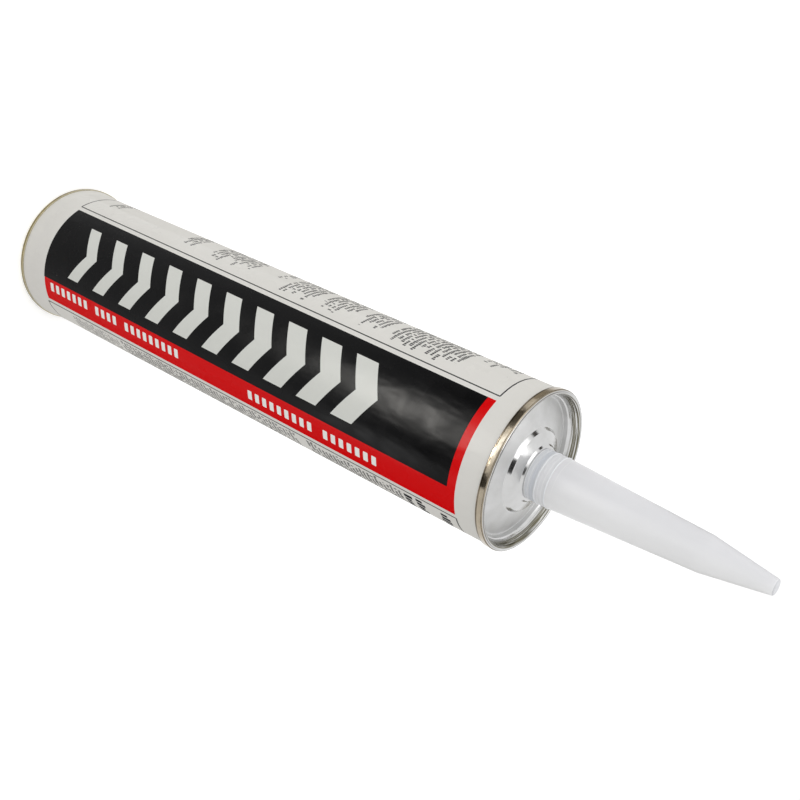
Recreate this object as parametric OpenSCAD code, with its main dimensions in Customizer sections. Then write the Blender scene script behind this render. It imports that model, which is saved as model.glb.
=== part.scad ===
// Sealant cartridge for a hand gun: a wound fibreboard tube with a paper label, a seamed
// metal front end that carries a closed nozzle, and a plunger pushed in from the open rear.
// It stands on its rear rim, with its axis on Z and the nozzle up. Sizes are in millimetres.

/* [Tube] */
// Outside diameter of the wound fibreboard tube
tube_d = 49.6; // [44:0.1:56]
// Thickness of the fibreboard wall
tube_wall = 1.4; // [1.2:0.05:1.8]
// Height of the front seam's top above the base plane
crown_z = 215.6; // [170:0.1:260]
// How far the rear end of the tube is flared outwards
flare = 0.55; // [0.3:0.05:1]
// Length over which the flare runs back to the straight tube
flare_len = 5; // [3:0.5:8]

/* [Label] */
// Thickness of the paper label
label_t = 0.2; // [0.1:0.01:0.25]

/* [Rear rim] */
// Thickness of the rim's sheet
rim_t = 0.3; // [0.2:0.01:0.4]
// Height of the rim's two legs above the base plane
rim_h = 1.7; // [1.4:0.1:3]
// Outside radius of the rim's rolled corners
rim_corner = 0.6; // [0.5:0.05:0.7]

/* [Front end] */
// Thickness of the front end's sheet
end_t = 0.25; // [0.2:0.01:0.3]
// Height of the seam's outer band
seam_h = 2.6; // [2.2:0.1:4]
// Length of the hook turned up inside the seam
hook_h = 1.2; // [0.8:0.1:1.4]
// Distance from the label's surface in to the top of the chuck wall
crown_in = 0.8; // [0.65:0.05:0.9]
// Depth of the ledge in the chuck wall below the crown
ledge_depth = 3.2; // [2.8:0.1:3.6]
// Width of the ledge
ledge_w = 0.4; // [0.3:0.05:0.8]
// Fall of the ledge across its width
ledge_fall = 0.15; // [0.05:0.05:0.3]
// Gap between the ledge and the tube's wall outside it
ledge_gap = 0.22; // [0.1:0.02:0.4]
// Depth of the countersink groove below the crown
sink_depth = 4.9; // [4.4:0.1:6]
// Width of the countersink groove
sink_w = 0.7; // [0.5:0.05:1.2]
// Inward run of the wall between the ledge and the groove
sink_run = 0.3; // [0.1:0.05:0.6]
// Bend radius of the crown, at the middle of the sheet
crown_bend = 0.45; // [0.3:0.05:0.5]
// Bend radius of the ledge and the groove
ledge_bend = 0.2; // [0.15:0.05:0.3]

/* [Boss] */
// Diameter of the first step at its foot
step_d = 26.7; // [24:0.1:32]
// Depth of the first step's foot below the crown
step_foot_depth = 1.75; // [1.4:0.05:2.4]
// Depth of the first step's top below the crown
step_top_depth = 0.6; // [0.3:0.05:0.9]
// Inward lean of the first step's wall
step_lean = 0.85; // [0.5:0.05:1.2]
// Inward lean of the second step's wall
boss_lean = 0.6; // [0.4:0.05:0.9]
// Bend radius of the steps
step_bend = 0.35; // [0.2:0.05:0.45]
// Height of the second step's foot above the crown
boss_foot = 0.75; // [0.5:0.05:1]
// Height of the boss's top above the crown
boss_top = 1.6; // [1.4:0.05:2.2]
// Width of the flat land around the nozzle
land_w = 0.5; // [0.4:0.05:0.8]

/* [Nozzle] */
// Diameter of the nozzle's collar
collar_d = 15.8; // [13:0.1:17.5]
// Height of the collar's upper ring above the crown
collar_h = 8.4; // [7:0.1:12]
// Height of the lower ring above the crown
ring_h = 5; // [4:0.1:6]
// How far the two rings stand out
ring_out = 0.14; // [0.05:0.01:0.3]
// Half the height of each ring
ring_half = 0.2; // [0.1:0.05:0.3]
// Depth of the fine turned grooves between the rings
groove_depth = 0.08; // [0.04:0.01:0.15]
// Diameter where the nozzle's taper steepens
neck_d = 11.05; // [8:0.05:12]
// Height of that place above the crown
neck_h = 54.3; // [40:0.1:70]
// Diameter of the closed tip
tip_d = 4.9; // [4:0.1:6.5]
// Height of the tip's end above the crown
tip_h = 74.5; // [71:0.1:90]
// Wall thickness at the collar
collar_wall = 1.5; // [1:0.1:2.5]
// Wall thickness from the neck to the tip
neck_wall = 1.15; // [0.8:0.05:1.5]
// Thickness of the plastic that closes the tip
tip_wall = 3; // [1.5:0.1:5]
// Rounding of the tip's edge
tip_round = 0.5; // [0.2:0.05:1]
// Thickness of the nozzle's flange at its outer edge
flange_t = 1; // [0.6:0.1:2]
// Distance from the flange's edge to the first step above it
flange_inset = 0.9; // [0.6:0.1:1.5]

/* [Seal] */
// Thickness of the foil membrane
foil_t = 0.1; // [0.05:0.01:0.2]
// Overlap of the membrane on the flange around the bore
foil_lap = 3; // [2:0.1:4]

/* [Plunger] */
// Depth of the plunger's rear edge inside the tube
recess = 18; // [12:0.5:30]
// Length of the plunger's skirt
skirt_len = 14; // [10:0.5:20]
// Thickness of the skirt
skirt_wall = 1.2; // [0.9:0.05:1.8]
// Thickness of the plunger's face
face_t = 1.6; // [1.2:0.1:2.5]
// How far the middle of the skirt stands back from its two lips
lip_out = 0.25; // [0.1:0.05:0.5]
// Height of each lip
lip_h = 2; // [1.5:0.1:3]
// Bevel that leads the pusher plate into the skirt
lead_in = 0.6; // [0.3:0.1:0.8]
// Number of ribs under the plunger's face
rib_count = 8; // [4:1:12]
// Height of the ribs
rib_h = 2; // [1:0.1:3]
// Thickness of the ribs
rib_t = 1; // [0.8:0.1:1.5]
// Diameter of the hub where the ribs meet
hub_d = 9; // [6:0.5:14]

/* [Fits] */
// Gap between pieces that are glued, crimped or seamed together
seat_gap = 0.02; // [0.01:0.005:0.03]
// Radial clearance of the plunger in the tube
slide_gap = 0.08; // [0.05:0.01:0.1]
// Clearance between the plunger's face and the filling
fill_gap = 0.3; // [0.2:0.05:0.5]

/* [Hidden] */
$fn = 96;
flare_steps = 8;
bend_steps = 4;
overlap = 0.05;
groove_shares = [0.34, 0.68];

tube_r = tube_d / 2;
tube_ir = tube_r - tube_wall;
label_r = tube_r + label_t;
foot_z = rim_t + seat_gap;
end_chamfer = rim_corner - rim_t + seat_gap;

// Centre line of the seam's band, of the hook turned up behind it and of the crown
hook_r = label_r + seat_gap + end_t / 2;
band_r = hook_r + end_t + seat_gap;
hook_bend = (band_r - hook_r) / 2;
crown_mid_z = crown_z - end_t / 2;
band_mid_z = crown_z - seam_h + end_t / 2;
hook_top_z = crown_z - seam_h + hook_h;

// Centre line of the chuck wall, its ledge and the countersink groove
chuck_r = label_r - crown_in;
ledge_r = tube_ir - end_t / 2 - ledge_gap;
ledge_z = crown_z - ledge_depth;
sink_r = ledge_r - ledge_w - sink_run;
sink_mid_z = crown_z - sink_depth + end_t / 2;

// Centre line of the two steps and of the land around the nozzle
collar_r = collar_d / 2;
hole_r = collar_r + seat_gap;
boss_r = hole_r + land_w + end_t / 2;
boss_foot_r = boss_r + boss_lean;
step_r = step_d / 2;
step_top_r = step_r - step_lean;
step_foot_z = crown_z - step_foot_depth;
step_top_z = crown_z - step_top_depth;
boss_foot_z = crown_z + boss_foot;
boss_mid_z = crown_z + boss_top - end_t / 2;

// Flange of the nozzle, held against the underside of the slope between the steps
slope_angle = atan2(boss_foot_z - step_top_z, step_top_r - boss_foot_r);
flange_r = step_top_r - flange_inset;
flange_edge_z = slope_under(flange_r);
flange_z = flange_edge_z - flange_t;
neck_in_z = slope_under(boss_foot_r);

// Nozzle above the flange
ring_z = crown_z + ring_h;
collar_z = crown_z + collar_h;
neck_z = crown_z + neck_h;
tip_z = crown_z + tip_h;
bore_r = collar_r - collar_wall;
neck_bore_r = neck_d / 2 - neck_wall;
bore_end_z = tip_z - tip_wall;
tip_bore_r = cone_r(bore_end_z) - neck_wall;

// Plunger and filling
plunger_r = tube_ir - slide_gap;
skirt_r = plunger_r - lip_out;
face_z = recess + skirt_len;
fill_r = tube_ir - seat_gap;
fill_z = face_z + fill_gap;
fill_top_z = crown_z - sink_depth - seat_gap;

// Height of the underside of the slope between the two steps, less the seat gap
function slope_under(r) =
    step_top_z + (step_top_r - r) * tan(slope_angle) - (end_t / 2 + seat_gap) / cos(slope_angle);

// Radius of the nozzle's outside above the neck
function cone_r(z) = neck_d / 2 + (tip_d - neck_d) / 2 * (z - neck_z) / (tip_z - neck_z);

// Outward flare of the tube at a height: full behind the rim, then easing to nothing
function flare_at(z) =
    z <= rim_h ? flare
    : z >= rim_h + flare_len ? 0
    : flare * (1 + cos(180 * (z - rim_h) / flare_len)) / 2;

// Heights at which the flare is sampled
function flare_heights() = [for (i = [0 : flare_steps]) rim_h + flare_len * i / flare_steps];

// Heading of a line, normal on its left and signed turn between two headings
function heading(a, b) = atan2(b.y - a.y, b.x - a.x);
function left_of(h) = [-sin(h), cos(h)];
function turn(h1, h2) = (h2 - h1 + 540) % 360 - 180;

function reversed(list) = [for (i = [len(list) - 1 : -1 : 0]) list[i]];

// Points round one bend of a strip, at a sideways shift from its centre line
function bend_points(path, i, radius, shift) =
    let (
        h1 = heading(path[i - 1], path[i]),
        swing = turn(h1, heading(path[i], path[i + 1])),
        side = sign(swing),
        reach = radius * tan(abs(swing) / 2),
        start = path[i] - reach * [cos(h1), sin(h1)],
        centre = start + side * radius * left_of(h1)
    )
    [for (k = [0 : bend_steps]) centre + (shift - side * radius) * left_of(h1 + swing * k / bend_steps)];

// One face of a bent strip: the centre line with its corners rounded, shifted sideways
function strip_face(path, radii, shift) =
    let (last = len(path) - 1)
    concat(
        [path[0] + shift * left_of(heading(path[0], path[1]))],
        [for (i = [1 : last - 1]) each bend_points(path, i, radii[i - 1], shift)],
        [path[last] + shift * left_of(heading(path[last - 1], path[last]))]
    );

// Ring pressed from sheet: a bent strip turned about the Z axis
module pressed_ring(path, radii, thick) {
    rotate_extrude()
        polygon(concat(strip_face(path, radii, thick / 2), reversed(strip_face(path, radii, -thick / 2))));
}

// Wound tube: flared and chamfered at the rear, crushed thinner inside the front seam
module body_tube() {
    heights = flare_heights();
    top_z = crown_z - 2 * end_t;
    squeeze_z = ledge_z + end_t;
    squeeze_r = chuck_r + end_t / 2 + seat_gap;
    color("burlywood")
        rotate_extrude()
            polygon(concat(
                [[tube_r + flare - end_chamfer, foot_z], [tube_r + flare, foot_z + end_chamfer]],
                [for (z = heights) [tube_r + flare_at(z), z]],
                [[tube_r, top_z], [squeeze_r, top_z], [tube_ir, squeeze_z]],
                [for (z = reversed(heights)) [tube_ir + flare_at(z), z]],
                [[tube_ir + flare, foot_z + end_chamfer], [tube_ir + flare + end_chamfer, foot_z]]
            ));
}

// Paper label: from under the rim's leg to inside the seam's hook, with the tube's flare
module printed_label() {
    heights = flare_heights();
    low_z = foot_z + end_chamfer;
    high_z = band_mid_z + end_t;
    inner_r = tube_r + seat_gap / 2;
    color("whitesmoke")
        rotate_extrude()
            polygon(concat(
                [[label_r + flare, low_z]],
                [for (z = heights) [label_r + flare_at(z), z]],
                [[label_r, high_z], [inner_r, high_z]],
                [for (z = reversed(heights)) [inner_r + flare_at(z), z]],
                [[inner_r + flare, low_z]]
            ));
}

// Rolled channel that clasps the rear edge of the tube and its label
module rear_rim() {
    outer_r = label_r + flare + seat_gap + rim_t / 2;
    inner_r = tube_ir + flare - seat_gap - rim_t / 2;
    bend = rim_corner - rim_t / 2;
    color("darkkhaki")
        pressed_ring(
            [[inner_r, rim_h], [inner_r, rim_t / 2], [outer_r, rim_t / 2], [outer_r, rim_h]],
            [bend, bend],
            rim_t
        );
}

// Metal end: stepped boss, sloping panel, countersink, ledged chuck wall, crown and hooked band
module front_end() {
    path = [
        [hole_r, boss_mid_z],
        [boss_r, boss_mid_z],
        [boss_foot_r, boss_foot_z],
        [step_top_r, step_top_z],
        [step_r, step_foot_z],
        [sink_r - sink_w, sink_mid_z],
        [sink_r, sink_mid_z],
        [ledge_r - ledge_w, ledge_z - ledge_fall],
        [ledge_r, ledge_z],
        [chuck_r, crown_mid_z],
        [band_r, crown_mid_z],
        [band_r, band_mid_z],
        [hook_r, band_mid_z],
        [hook_r, hook_top_z]
    ];
    radii = concat(
        [for (i = [1 : 4]) step_bend],
        [for (i = [1 : 4]) ledge_bend],
        [crown_bend, crown_bend, hook_bend, hook_bend]
    );
    color("silver")
        pressed_ring(path, radii, end_t);
}

// Moulded nozzle: flange under the boss, ringed collar, two tapers and a closed tip
module nozzle() {
    color("gainsboro")
        difference() {
            rotate_extrude()
                polygon(nozzle_outline());
            rotate_extrude()
                polygon([
                    [0, flange_z - overlap],
                    [bore_r, flange_z - overlap],
                    [bore_r, collar_z],
                    [neck_bore_r, neck_z],
                    [tip_bore_r, bore_end_z],
                    [0, bore_end_z]
                ]);
        }
}

// Outside of the nozzle from the flange to the tip, with its rings and grooves
function nozzle_outline() =
    let (
        boss_z = crown_z + boss_top,
        low_grooves = [for (share = groove_shares) boss_z + (ring_z - boss_z) * share],
        high_grooves = [for (share = groove_shares) ring_z + (collar_z - ring_z) * share],
        end_r = tip_d / 2 - tip_round
    )
    concat(
        [[0, flange_z], [flange_r, flange_z], [flange_r, flange_edge_z]],
        [[boss_foot_r - end_t, neck_in_z - end_t / 2], [collar_r, neck_in_z - end_t / 2]],
        [for (z = low_grooves) each groove_points(z)],
        ring_points(ring_z),
        [for (z = high_grooves) each groove_points(z)],
        ring_points(collar_z),
        [[neck_d / 2, neck_z], [tip_d / 2, tip_z - tip_round]],
        [for (a = [30 : 30 : 90]) [end_r + tip_round * cos(a), tip_z - tip_round + tip_round * sin(a)]],
        [[0, tip_z]]
    );

// A raised ring and a turned groove on the collar, as points of its outline
function ring_points(z) = [for (a = [-90 : 30 : 90]) [collar_r + ring_out * cos(a), z + ring_half * sin(a)]];
function groove_points(z) =
    [[collar_r, z - groove_depth], [collar_r - groove_depth, z], [collar_r, z + groove_depth]];

// Foil membrane bonded across the nozzle's bore, under its flange
module inner_seal() {
    color("lightsteelblue")
        translate([0, 0, flange_z - seat_gap - foil_t])
            cylinder(h = foil_t, r = min(bore_r + foil_lap, flange_r));
}

// Filling between the plunger and the front end
module sealant() {
    color("tan")
        translate([0, 0, fill_z])
            cylinder(h = fill_top_z - fill_z, r = fill_r);
}

// Moulded cup that the gun's pusher plate drives forward: two lips, a face and ribs behind it
module plunger() {
    bore = skirt_r - skirt_wall;
    floor_z = face_z - face_t;
    color("ivory") {
        rotate_extrude()
            polygon([
                [0, floor_z],
                [bore, floor_z],
                [bore, recess + lead_in],
                [bore + lead_in, recess],
                [plunger_r, recess],
                [plunger_r, recess + lip_h],
                [skirt_r, recess + lip_h + lip_out],
                [skirt_r, face_z - lip_h - lip_out],
                [plunger_r, face_z - lip_h],
                [plunger_r, face_z - lip_out],
                [plunger_r - lip_out, face_z],
                [0, face_z]
            ]);
        intersection() {
            union() {
                for (i = [0 : rib_count - 1])
                    rotate([0, 0, 360 * i / rib_count])
                        translate([0, -rib_t / 2, floor_z - rib_h])
                            cube([bore + overlap, rib_t, rib_h + overlap]);
                translate([0, 0, floor_z - rib_h])
                    cylinder(h = rib_h + overlap, d = hub_d);
            }
            translate([0, 0, floor_z - rib_h])
                cylinder(h = rib_h + overlap, r = bore + overlap);
        }
    }
}

body_tube();
printed_label();
rear_rim();
front_end();
nozzle();
inner_seal();
sealant();
plunger();
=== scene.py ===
"""Dresses the sealant cartridge: a wound tube with a printed label, its pressed metal end, the
moulded nozzle, the filling and the plunger, in a pale studio at the photograph's angle."""

import logging
import math
from dataclasses import dataclass
from enum import Enum

import bpy
from mathutils import Matrix, Vector

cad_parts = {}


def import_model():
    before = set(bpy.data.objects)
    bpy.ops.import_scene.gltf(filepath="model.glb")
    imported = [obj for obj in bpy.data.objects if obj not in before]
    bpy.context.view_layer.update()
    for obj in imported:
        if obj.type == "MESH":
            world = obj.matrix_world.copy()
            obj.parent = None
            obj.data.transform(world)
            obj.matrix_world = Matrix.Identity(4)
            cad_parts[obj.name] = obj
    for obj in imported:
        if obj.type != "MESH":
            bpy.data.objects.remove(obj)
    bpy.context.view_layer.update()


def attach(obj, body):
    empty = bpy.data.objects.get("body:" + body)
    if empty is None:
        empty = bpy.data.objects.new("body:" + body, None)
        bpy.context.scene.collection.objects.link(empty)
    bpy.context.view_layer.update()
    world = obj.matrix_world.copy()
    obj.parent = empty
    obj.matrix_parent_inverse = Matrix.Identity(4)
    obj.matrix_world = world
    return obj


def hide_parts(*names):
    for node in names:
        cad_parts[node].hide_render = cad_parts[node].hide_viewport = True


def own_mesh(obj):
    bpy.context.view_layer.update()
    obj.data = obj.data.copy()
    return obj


log = logging.getLogger("cartridge")

Point = tuple[float, float]
Place = tuple[float, float, float]
Colour = tuple[float, float, float, float]
Tree = bpy.types.NodeTree
Node = bpy.types.Node
Socket = bpy.types.NodeSocket
Material = bpy.types.Material
Mesh = bpy.types.Mesh
Piece = bpy.types.Object

MM = 0.001
# A section is turned along a circle of this radius in millimetres, and drawn back by as much
TURN_R = 40.0


class Body(Enum):
    """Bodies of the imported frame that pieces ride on."""

    CARTRIDGE = "cartridge"
    PLUNGER = "plunger"


class Turn(Enum):
    """How finely a section is turned round the axis, in segments."""

    PLAIN = 192
    FINE = 288


def linear(code: str) -> Colour:
    """Turns an sRGB hex colour to linear.

    Args:
        code: Six hex digits after a hash sign.

    Returns:
        Red, green, blue and an alpha of one.
    """
    parts = [int(code[i:i + 2], 16) / 255 for i in (1, 3, 5)]
    red, green, blue = (p / 12.92 if p <= 0.04045 else ((p + 0.055) / 1.055) ** 2.4 for p in parts)
    return red, green, blue, 1.0


def add(tree: Tree, kind: str, inputs: dict | None = None, **settings) -> Node:
    """Adds a node to a tree, with its settings, links and values.

    Args:
        tree: The material's, world's or geometry tree.
        kind: The node's type name.
        inputs: A socket or a value for each named or numbered input.
        **settings: Attributes of the node itself.

    Returns:
        The new node.
    """
    made = tree.nodes.new(kind)
    for key, value in settings.items():
        setattr(made, key, value)
    for key, value in (inputs or {}).items():
        if isinstance(value, Node):
            value = value.outputs[0]
        if isinstance(value, Socket):
            tree.links.new(value, made.inputs[key])
        else:
            made.inputs[key].default_value = value
    return made


def new_material(name: str) -> tuple[Material, Tree]:
    """Starts a material with an empty tree.

    Args:
        name: The material's name.

    Returns:
        The material and its tree.
    """
    material = bpy.data.materials.new(name)
    material.use_nodes = True
    material.node_tree.nodes.clear()
    return material, material.node_tree


def put_in_scene(name: str, data: bpy.types.ID) -> Piece:
    """Makes an object from its data and puts it in the scene.

    Args:
        name: The object's name.
        data: Its mesh, lamp or camera.

    Returns:
        The object, at the origin.
    """
    made = bpy.data.objects.new(name, data)
    bpy.context.scene.collection.objects.link(made)
    return made


# Sizes of the cartridge, in millimetres


@dataclass(frozen=True)
class Cartridge:
    """Sizes that the pieces share, as in the frame.

    Heights of the front end are measured up from the crown, and drops down from it.
    """

    tube_r: float = 24.8
    wall: float = 1.4
    label_t: float = 0.2
    crown_z: float = 215.6
    flare: float = 0.55
    flare_len: float = 5.0
    rim_t: float = 0.3
    rim_h: float = 1.7
    rim_corner: float = 0.6
    end_t: float = 0.25
    seat: float = 0.02
    seam_h: float = 2.6
    crown_w: float = 0.8
    ledge_drop: float = 3.2
    slope_r: float = 12.5
    slope_drop: float = 0.6
    boss_foot_r: float = 9.145
    boss_foot_h: float = 0.75
    boss_h: float = 1.6

    @property
    def bore_r(self) -> float:
        """Radius of the tube's bore."""
        return self.tube_r - self.wall

    @property
    def label_r(self) -> float:
        """Radius over the label."""
        return self.tube_r + self.label_t

    @property
    def foot_z(self) -> float:
        """Height of the tube's rear edge, inside the rim."""
        return self.rim_t + self.seat

    @property
    def chamfer(self) -> float:
        """Chamfer of the tube's rear edge, inside the rim's rolled corners."""
        return self.rim_corner - self.rim_t + self.seat

    def flare_at(self, z: float) -> float:
        """Gives how far the tube is flared at a height."""
        run = min(max((z - self.rim_h) / self.flare_len, 0.0), 1.0)
        return self.flare * (1 + math.cos(math.pi * run)) / 2

    def flare_heights(self, steps: int = 14) -> list[float]:
        """Gives the heights at which the flare is sampled, rising."""
        return [self.rim_h + self.flare_len * i / steps for i in range(steps + 1)]


@dataclass(frozen=True)
class Strip:
    """A strip of sheet in section: a centre line with its corners bent round.

    Each corner has a radius of its own, and both faces follow the bends.
    """

    path: tuple[Point, ...]
    radii: tuple[float, ...]
    thick: float
    steps: int = 9

    def _bend(self, i: int, shift: float) -> list[Point]:
        """Gives the points round one corner of a face.

        Args:
            i: Index of the corner in the path.
            shift: Sideways distance of the face from the centre line.

        Returns:
            Points of the bend, in the path's order.
        """
        before, here, after = (Vector(self.path[k]) for k in (i - 1, i, i + 1))
        start_dir, end_dir = (here - before).normalized(), (after - here).normalized()
        h1 = math.atan2(start_dir.y, start_dir.x)
        swing = (math.atan2(end_dir.y, end_dir.x) - h1 + 3 * math.pi) % (2 * math.pi) - math.pi
        side = math.copysign(1.0, swing)
        radius = self.radii[i - 1]
        start = here - start_dir * radius * math.tan(abs(swing) / 2)
        centre = start + Vector((-math.sin(h1), math.cos(h1))) * side * radius
        out = []
        for k in range(self.steps + 1):
            h = h1 + swing * k / self.steps
            reach = Vector((-math.sin(h), math.cos(h)))
            out.append(tuple(centre + reach * (shift - side * radius)))
        return out

    def _end(self, i: int, shift: float) -> Point:
        """Gives an end point of a face, square to the path there.

        Args:
            i: Index of the path's first point, 0, or of its last one, -1.
            shift: Sideways distance of the face from the centre line.

        Returns:
            The point beside the path's end.
        """
        start, stop = (self.path[0], self.path[1]) if i == 0 else (self.path[-2], self.path[-1])
        run = (Vector(stop) - Vector(start)).normalized()
        return self.path[i][0] - run.y * shift, self.path[i][1] + run.x * shift

    def face(self, shift: float) -> list[Point]:
        """Gives one face of the strip.

        Args:
            shift: Sideways distance of the face from the centre line.

        Returns:
            Points of the face, in the path's order.
        """
        points = [self._end(0, shift)]
        for i in range(1, len(self.path) - 1):
            points += self._bend(i, shift)
        return points + [self._end(-1, shift)]

    def loop(self) -> list[Point]:
        """Gives the closed outline of the strip."""
        return self.face(self.thick / 2) + self.face(-self.thick / 2)[::-1]


# Geometry Nodes trees

BEAD_SEGMENTS = 12
CREASE = 32.0
SAME_POINT = 1e-4
WELD = 1e-6


def geometry_tree(name: str, inputs: dict[str, str]) -> tuple[Tree, Node]:
    """Starts a geometry tree with named inputs.

    Args:
        name: Name of the tree.
        inputs: Socket type for each input's name.

    Returns:
        The tree and its group input node.
    """
    tree = bpy.data.node_groups.new(name, "GeometryNodeTree")
    for title, kind in inputs.items():
        tree.interface.new_socket(title, in_out="INPUT", socket_type="NodeSocket" + kind)
    tree.interface.new_socket("Geometry", in_out="OUTPUT", socket_type="NodeSocketGeometry")
    return tree, add(tree, "NodeGroupInput")


def close_tree(tree: Tree, start: Node, last: Node) -> Tree:
    """Ends a geometry tree in Realize Instances and Set Material.

    Args:
        tree: The tree.
        start: Its group input node, which has a Material input.
        last: The node that gives the finished geometry.

    Returns:
        The same tree.
    """
    real = add(tree, "GeometryNodeRealizeInstances", {"Geometry": last})
    smooth = add(tree, "GeometryNodeSetShadeSmooth", {"Geometry": real, "Shade Smooth": True})
    dressed = add(tree, "GeometryNodeSetMaterial",
                  {"Geometry": smooth, "Material": start.outputs["Material"]})
    add(tree, "NodeGroupOutput", {"Geometry": dressed})
    return tree


def turned_tree() -> Tree:
    """Builds the tree that turns a section round the axis, as a lathe or a rolling mill does.

    Returns:
        The tree, with Section, Segments and Material as its inputs.
    """
    tree, start = geometry_tree("Turned section",
                                {"Section": "Geometry", "Segments": "Int", "Material": "Material"})
    line = add(tree, "GeometryNodeMeshToCurve", {"Mesh": start.outputs["Section"]})
    ring = add(tree, "GeometryNodeCurvePrimitiveCircle",
               {"Radius": TURN_R * MM, "Resolution": start.outputs["Segments"]})
    upright = add(tree, "GeometryNodeSetCurveNormal", {"Curve": ring}, mode="Z_UP")
    swept = add(tree, "GeometryNodeCurveToMesh", {"Curve": upright, "Profile Curve": line})
    closed = add(tree, "GeometryNodeMergeByDistance", {"Geometry": swept, "Distance": WELD})
    return close_tree(tree, start, closed)


def stacked_rings_tree() -> Tree:
    """Builds the tree that stacks equal round rings along the axis.

    Returns:
        The tree, whose inputs give the rings' number, places, sizes and material.
    """
    tree, start = geometry_tree("Stacked rings", {
        "Geometry": "Geometry", "Count": "Int", "First Height": "Float", "Spacing": "Float",
        "Radius": "Float", "Bead": "Float", "Segments": "Int", "Material": "Material"})
    path = add(tree, "GeometryNodeCurvePrimitiveCircle",
               {"Radius": start.outputs["Radius"], "Resolution": start.outputs["Segments"]})
    bead = add(tree, "GeometryNodeCurvePrimitiveCircle",
               {"Radius": start.outputs["Bead"], "Resolution": BEAD_SEGMENTS})
    ring = add(tree, "GeometryNodeCurveToMesh", {"Curve": path, "Profile Curve": bead})
    low = add(tree, "ShaderNodeCombineXYZ", {"Z": start.outputs["First Height"]})
    step = add(tree, "ShaderNodeCombineXYZ", {"Z": start.outputs["Spacing"]})
    places = add(tree, "GeometryNodeMeshLine",
                 {"Count": start.outputs["Count"], "Start Location": low, "Offset": step})
    stack = add(tree, "GeometryNodeInstanceOnPoints", {"Points": places, "Instance": ring})
    return close_tree(tree, start, stack)


def spoke_ribs_tree() -> Tree:
    """Builds the tree that stands straight ribs round the axis, like spokes.

    Returns:
        The tree, whose inputs give the ribs' number, sizes, top height and material.
    """
    tree, start = geometry_tree("Spoke ribs", {
        "Geometry": "Geometry", "Count": "Int", "Reach": "Float", "Thickness": "Float",
        "Depth": "Float", "Top": "Float", "Material": "Material"})
    size = add(tree, "ShaderNodeCombineXYZ", {
        "X": start.outputs["Reach"], "Y": start.outputs["Thickness"], "Z": start.outputs["Depth"]})
    bar = add(tree, "GeometryNodeMeshCube", {"Size": size})
    half_reach = add(tree, "ShaderNodeMath", {0: start.outputs["Reach"], 1: 0.5},
                     operation="MULTIPLY")
    drop = add(tree, "ShaderNodeMath",
               {0: start.outputs["Depth"], 1: -0.5, 2: start.outputs["Top"]},
               operation="MULTIPLY_ADD")
    shift = add(tree, "ShaderNodeCombineXYZ", {"X": half_reach, "Z": drop})
    placed = add(tree, "GeometryNodeTransform", {"Geometry": bar, "Translation": shift})
    places = add(tree, "GeometryNodeMeshLine",
                 {"Count": start.outputs["Count"], "Offset": (0.0, 0.0, 0.0)})
    step = add(tree, "ShaderNodeMath", {0: math.tau, 1: start.outputs["Count"]}, operation="DIVIDE")
    angle = add(tree, "ShaderNodeMath", {0: add(tree, "GeometryNodeInputIndex"), 1: step},
                operation="MULTIPLY")
    spin = add(tree, "ShaderNodeCombineXYZ", {"Z": angle})
    around = add(tree, "GeometryNodeInstanceOnPoints",
                 {"Points": places, "Instance": placed, "Rotation": spin})
    return close_tree(tree, start, around)


def made_by_nodes(name: str, mesh: Mesh, tree: Tree, values: dict[str, object],
                  crease: float = CREASE) -> Piece:
    """Runs a geometry tree on a mesh and keeps the result as a plain mesh.

    Args:
        name: Name of the finished piece.
        mesh: Mesh that the tree starts from.
        tree: The geometry tree.
        values: Value for each of the tree's named inputs.
        crease: Angle in degrees above which an edge stays sharp.

    Returns:
        The finished object, with no modifier left on it.
    """
    raw = put_in_scene(name + "_raw", mesh)
    modifier = raw.modifiers.new("Nodes", "NODES")
    modifier.node_group = tree
    for item in tree.interface.items_tree:
        if item.in_out == "INPUT" and item.name in values:
            modifier[item.identifier] = values[item.name]
    graph = bpy.context.evaluated_depsgraph_get()
    result = bpy.data.meshes.new_from_object(raw.evaluated_get(graph))
    raw.modifiers.remove(modifier)
    bpy.data.objects.remove(raw)
    bpy.data.meshes.remove(mesh)
    result.name = name
    result.set_sharp_from_angle(angle=math.radians(crease))
    return put_in_scene(name, result)


class Lathe:
    """Turns sections into closed pieces with the turned-section tree."""

    def __init__(self) -> None:
        """Builds the tree once."""
        self.tree = turned_tree()

    def turn(self, name: str, section: list[Point], material: Material,
             fineness: Turn = Turn.FINE) -> Piece:
        """Turns one section round the Z axis.

        Args:
            name: Name of the piece.
            section: Radius and height of each point, in millimetres; a section that doesn't
                start and end on the axis is closed.
            material: What the piece is made of.
            fineness: Number of segments round the axis.

        Returns:
            The finished piece.
        """
        points = [p for i, p in enumerate(section)
                  if i == 0 or math.dist(p, section[i - 1]) > SAME_POINT]
        area = sum(a[0] * b[1] - b[0] * a[1] for a, b in zip(points, points[1:] + points[:1]))
        if area > 0:
            points.reverse()
        on_axis = points[0][0] == points[-1][0] == 0.0
        edges = [(i, i + 1) for i in range(len(points) - 1)]
        if not on_axis:
            edges.append((len(points) - 1, 0))
        mesh = bpy.data.meshes.new(name + "_section")
        mesh.from_pydata([((r - TURN_R) * MM, -z * MM, 0.0) for r, z in points], edges, [])
        return made_by_nodes(name, mesh, self.tree,
                             {"Segments": fineness.value, "Material": material})


# Finishes


@dataclass(frozen=True)
class Ink:
    """A flat field of print: a rounded box on the unrolled label, in millimetres.

    A line width leaves only its outline, and a pitch cuts it into equal blocks with gaps.
    """

    low_z: float
    high_z: float
    low_s: float
    high_s: float
    colour: str
    corner: float = 0.15
    line: float = 0.0
    pitch: float = 0.0
    gap: float = 0.8


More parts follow.
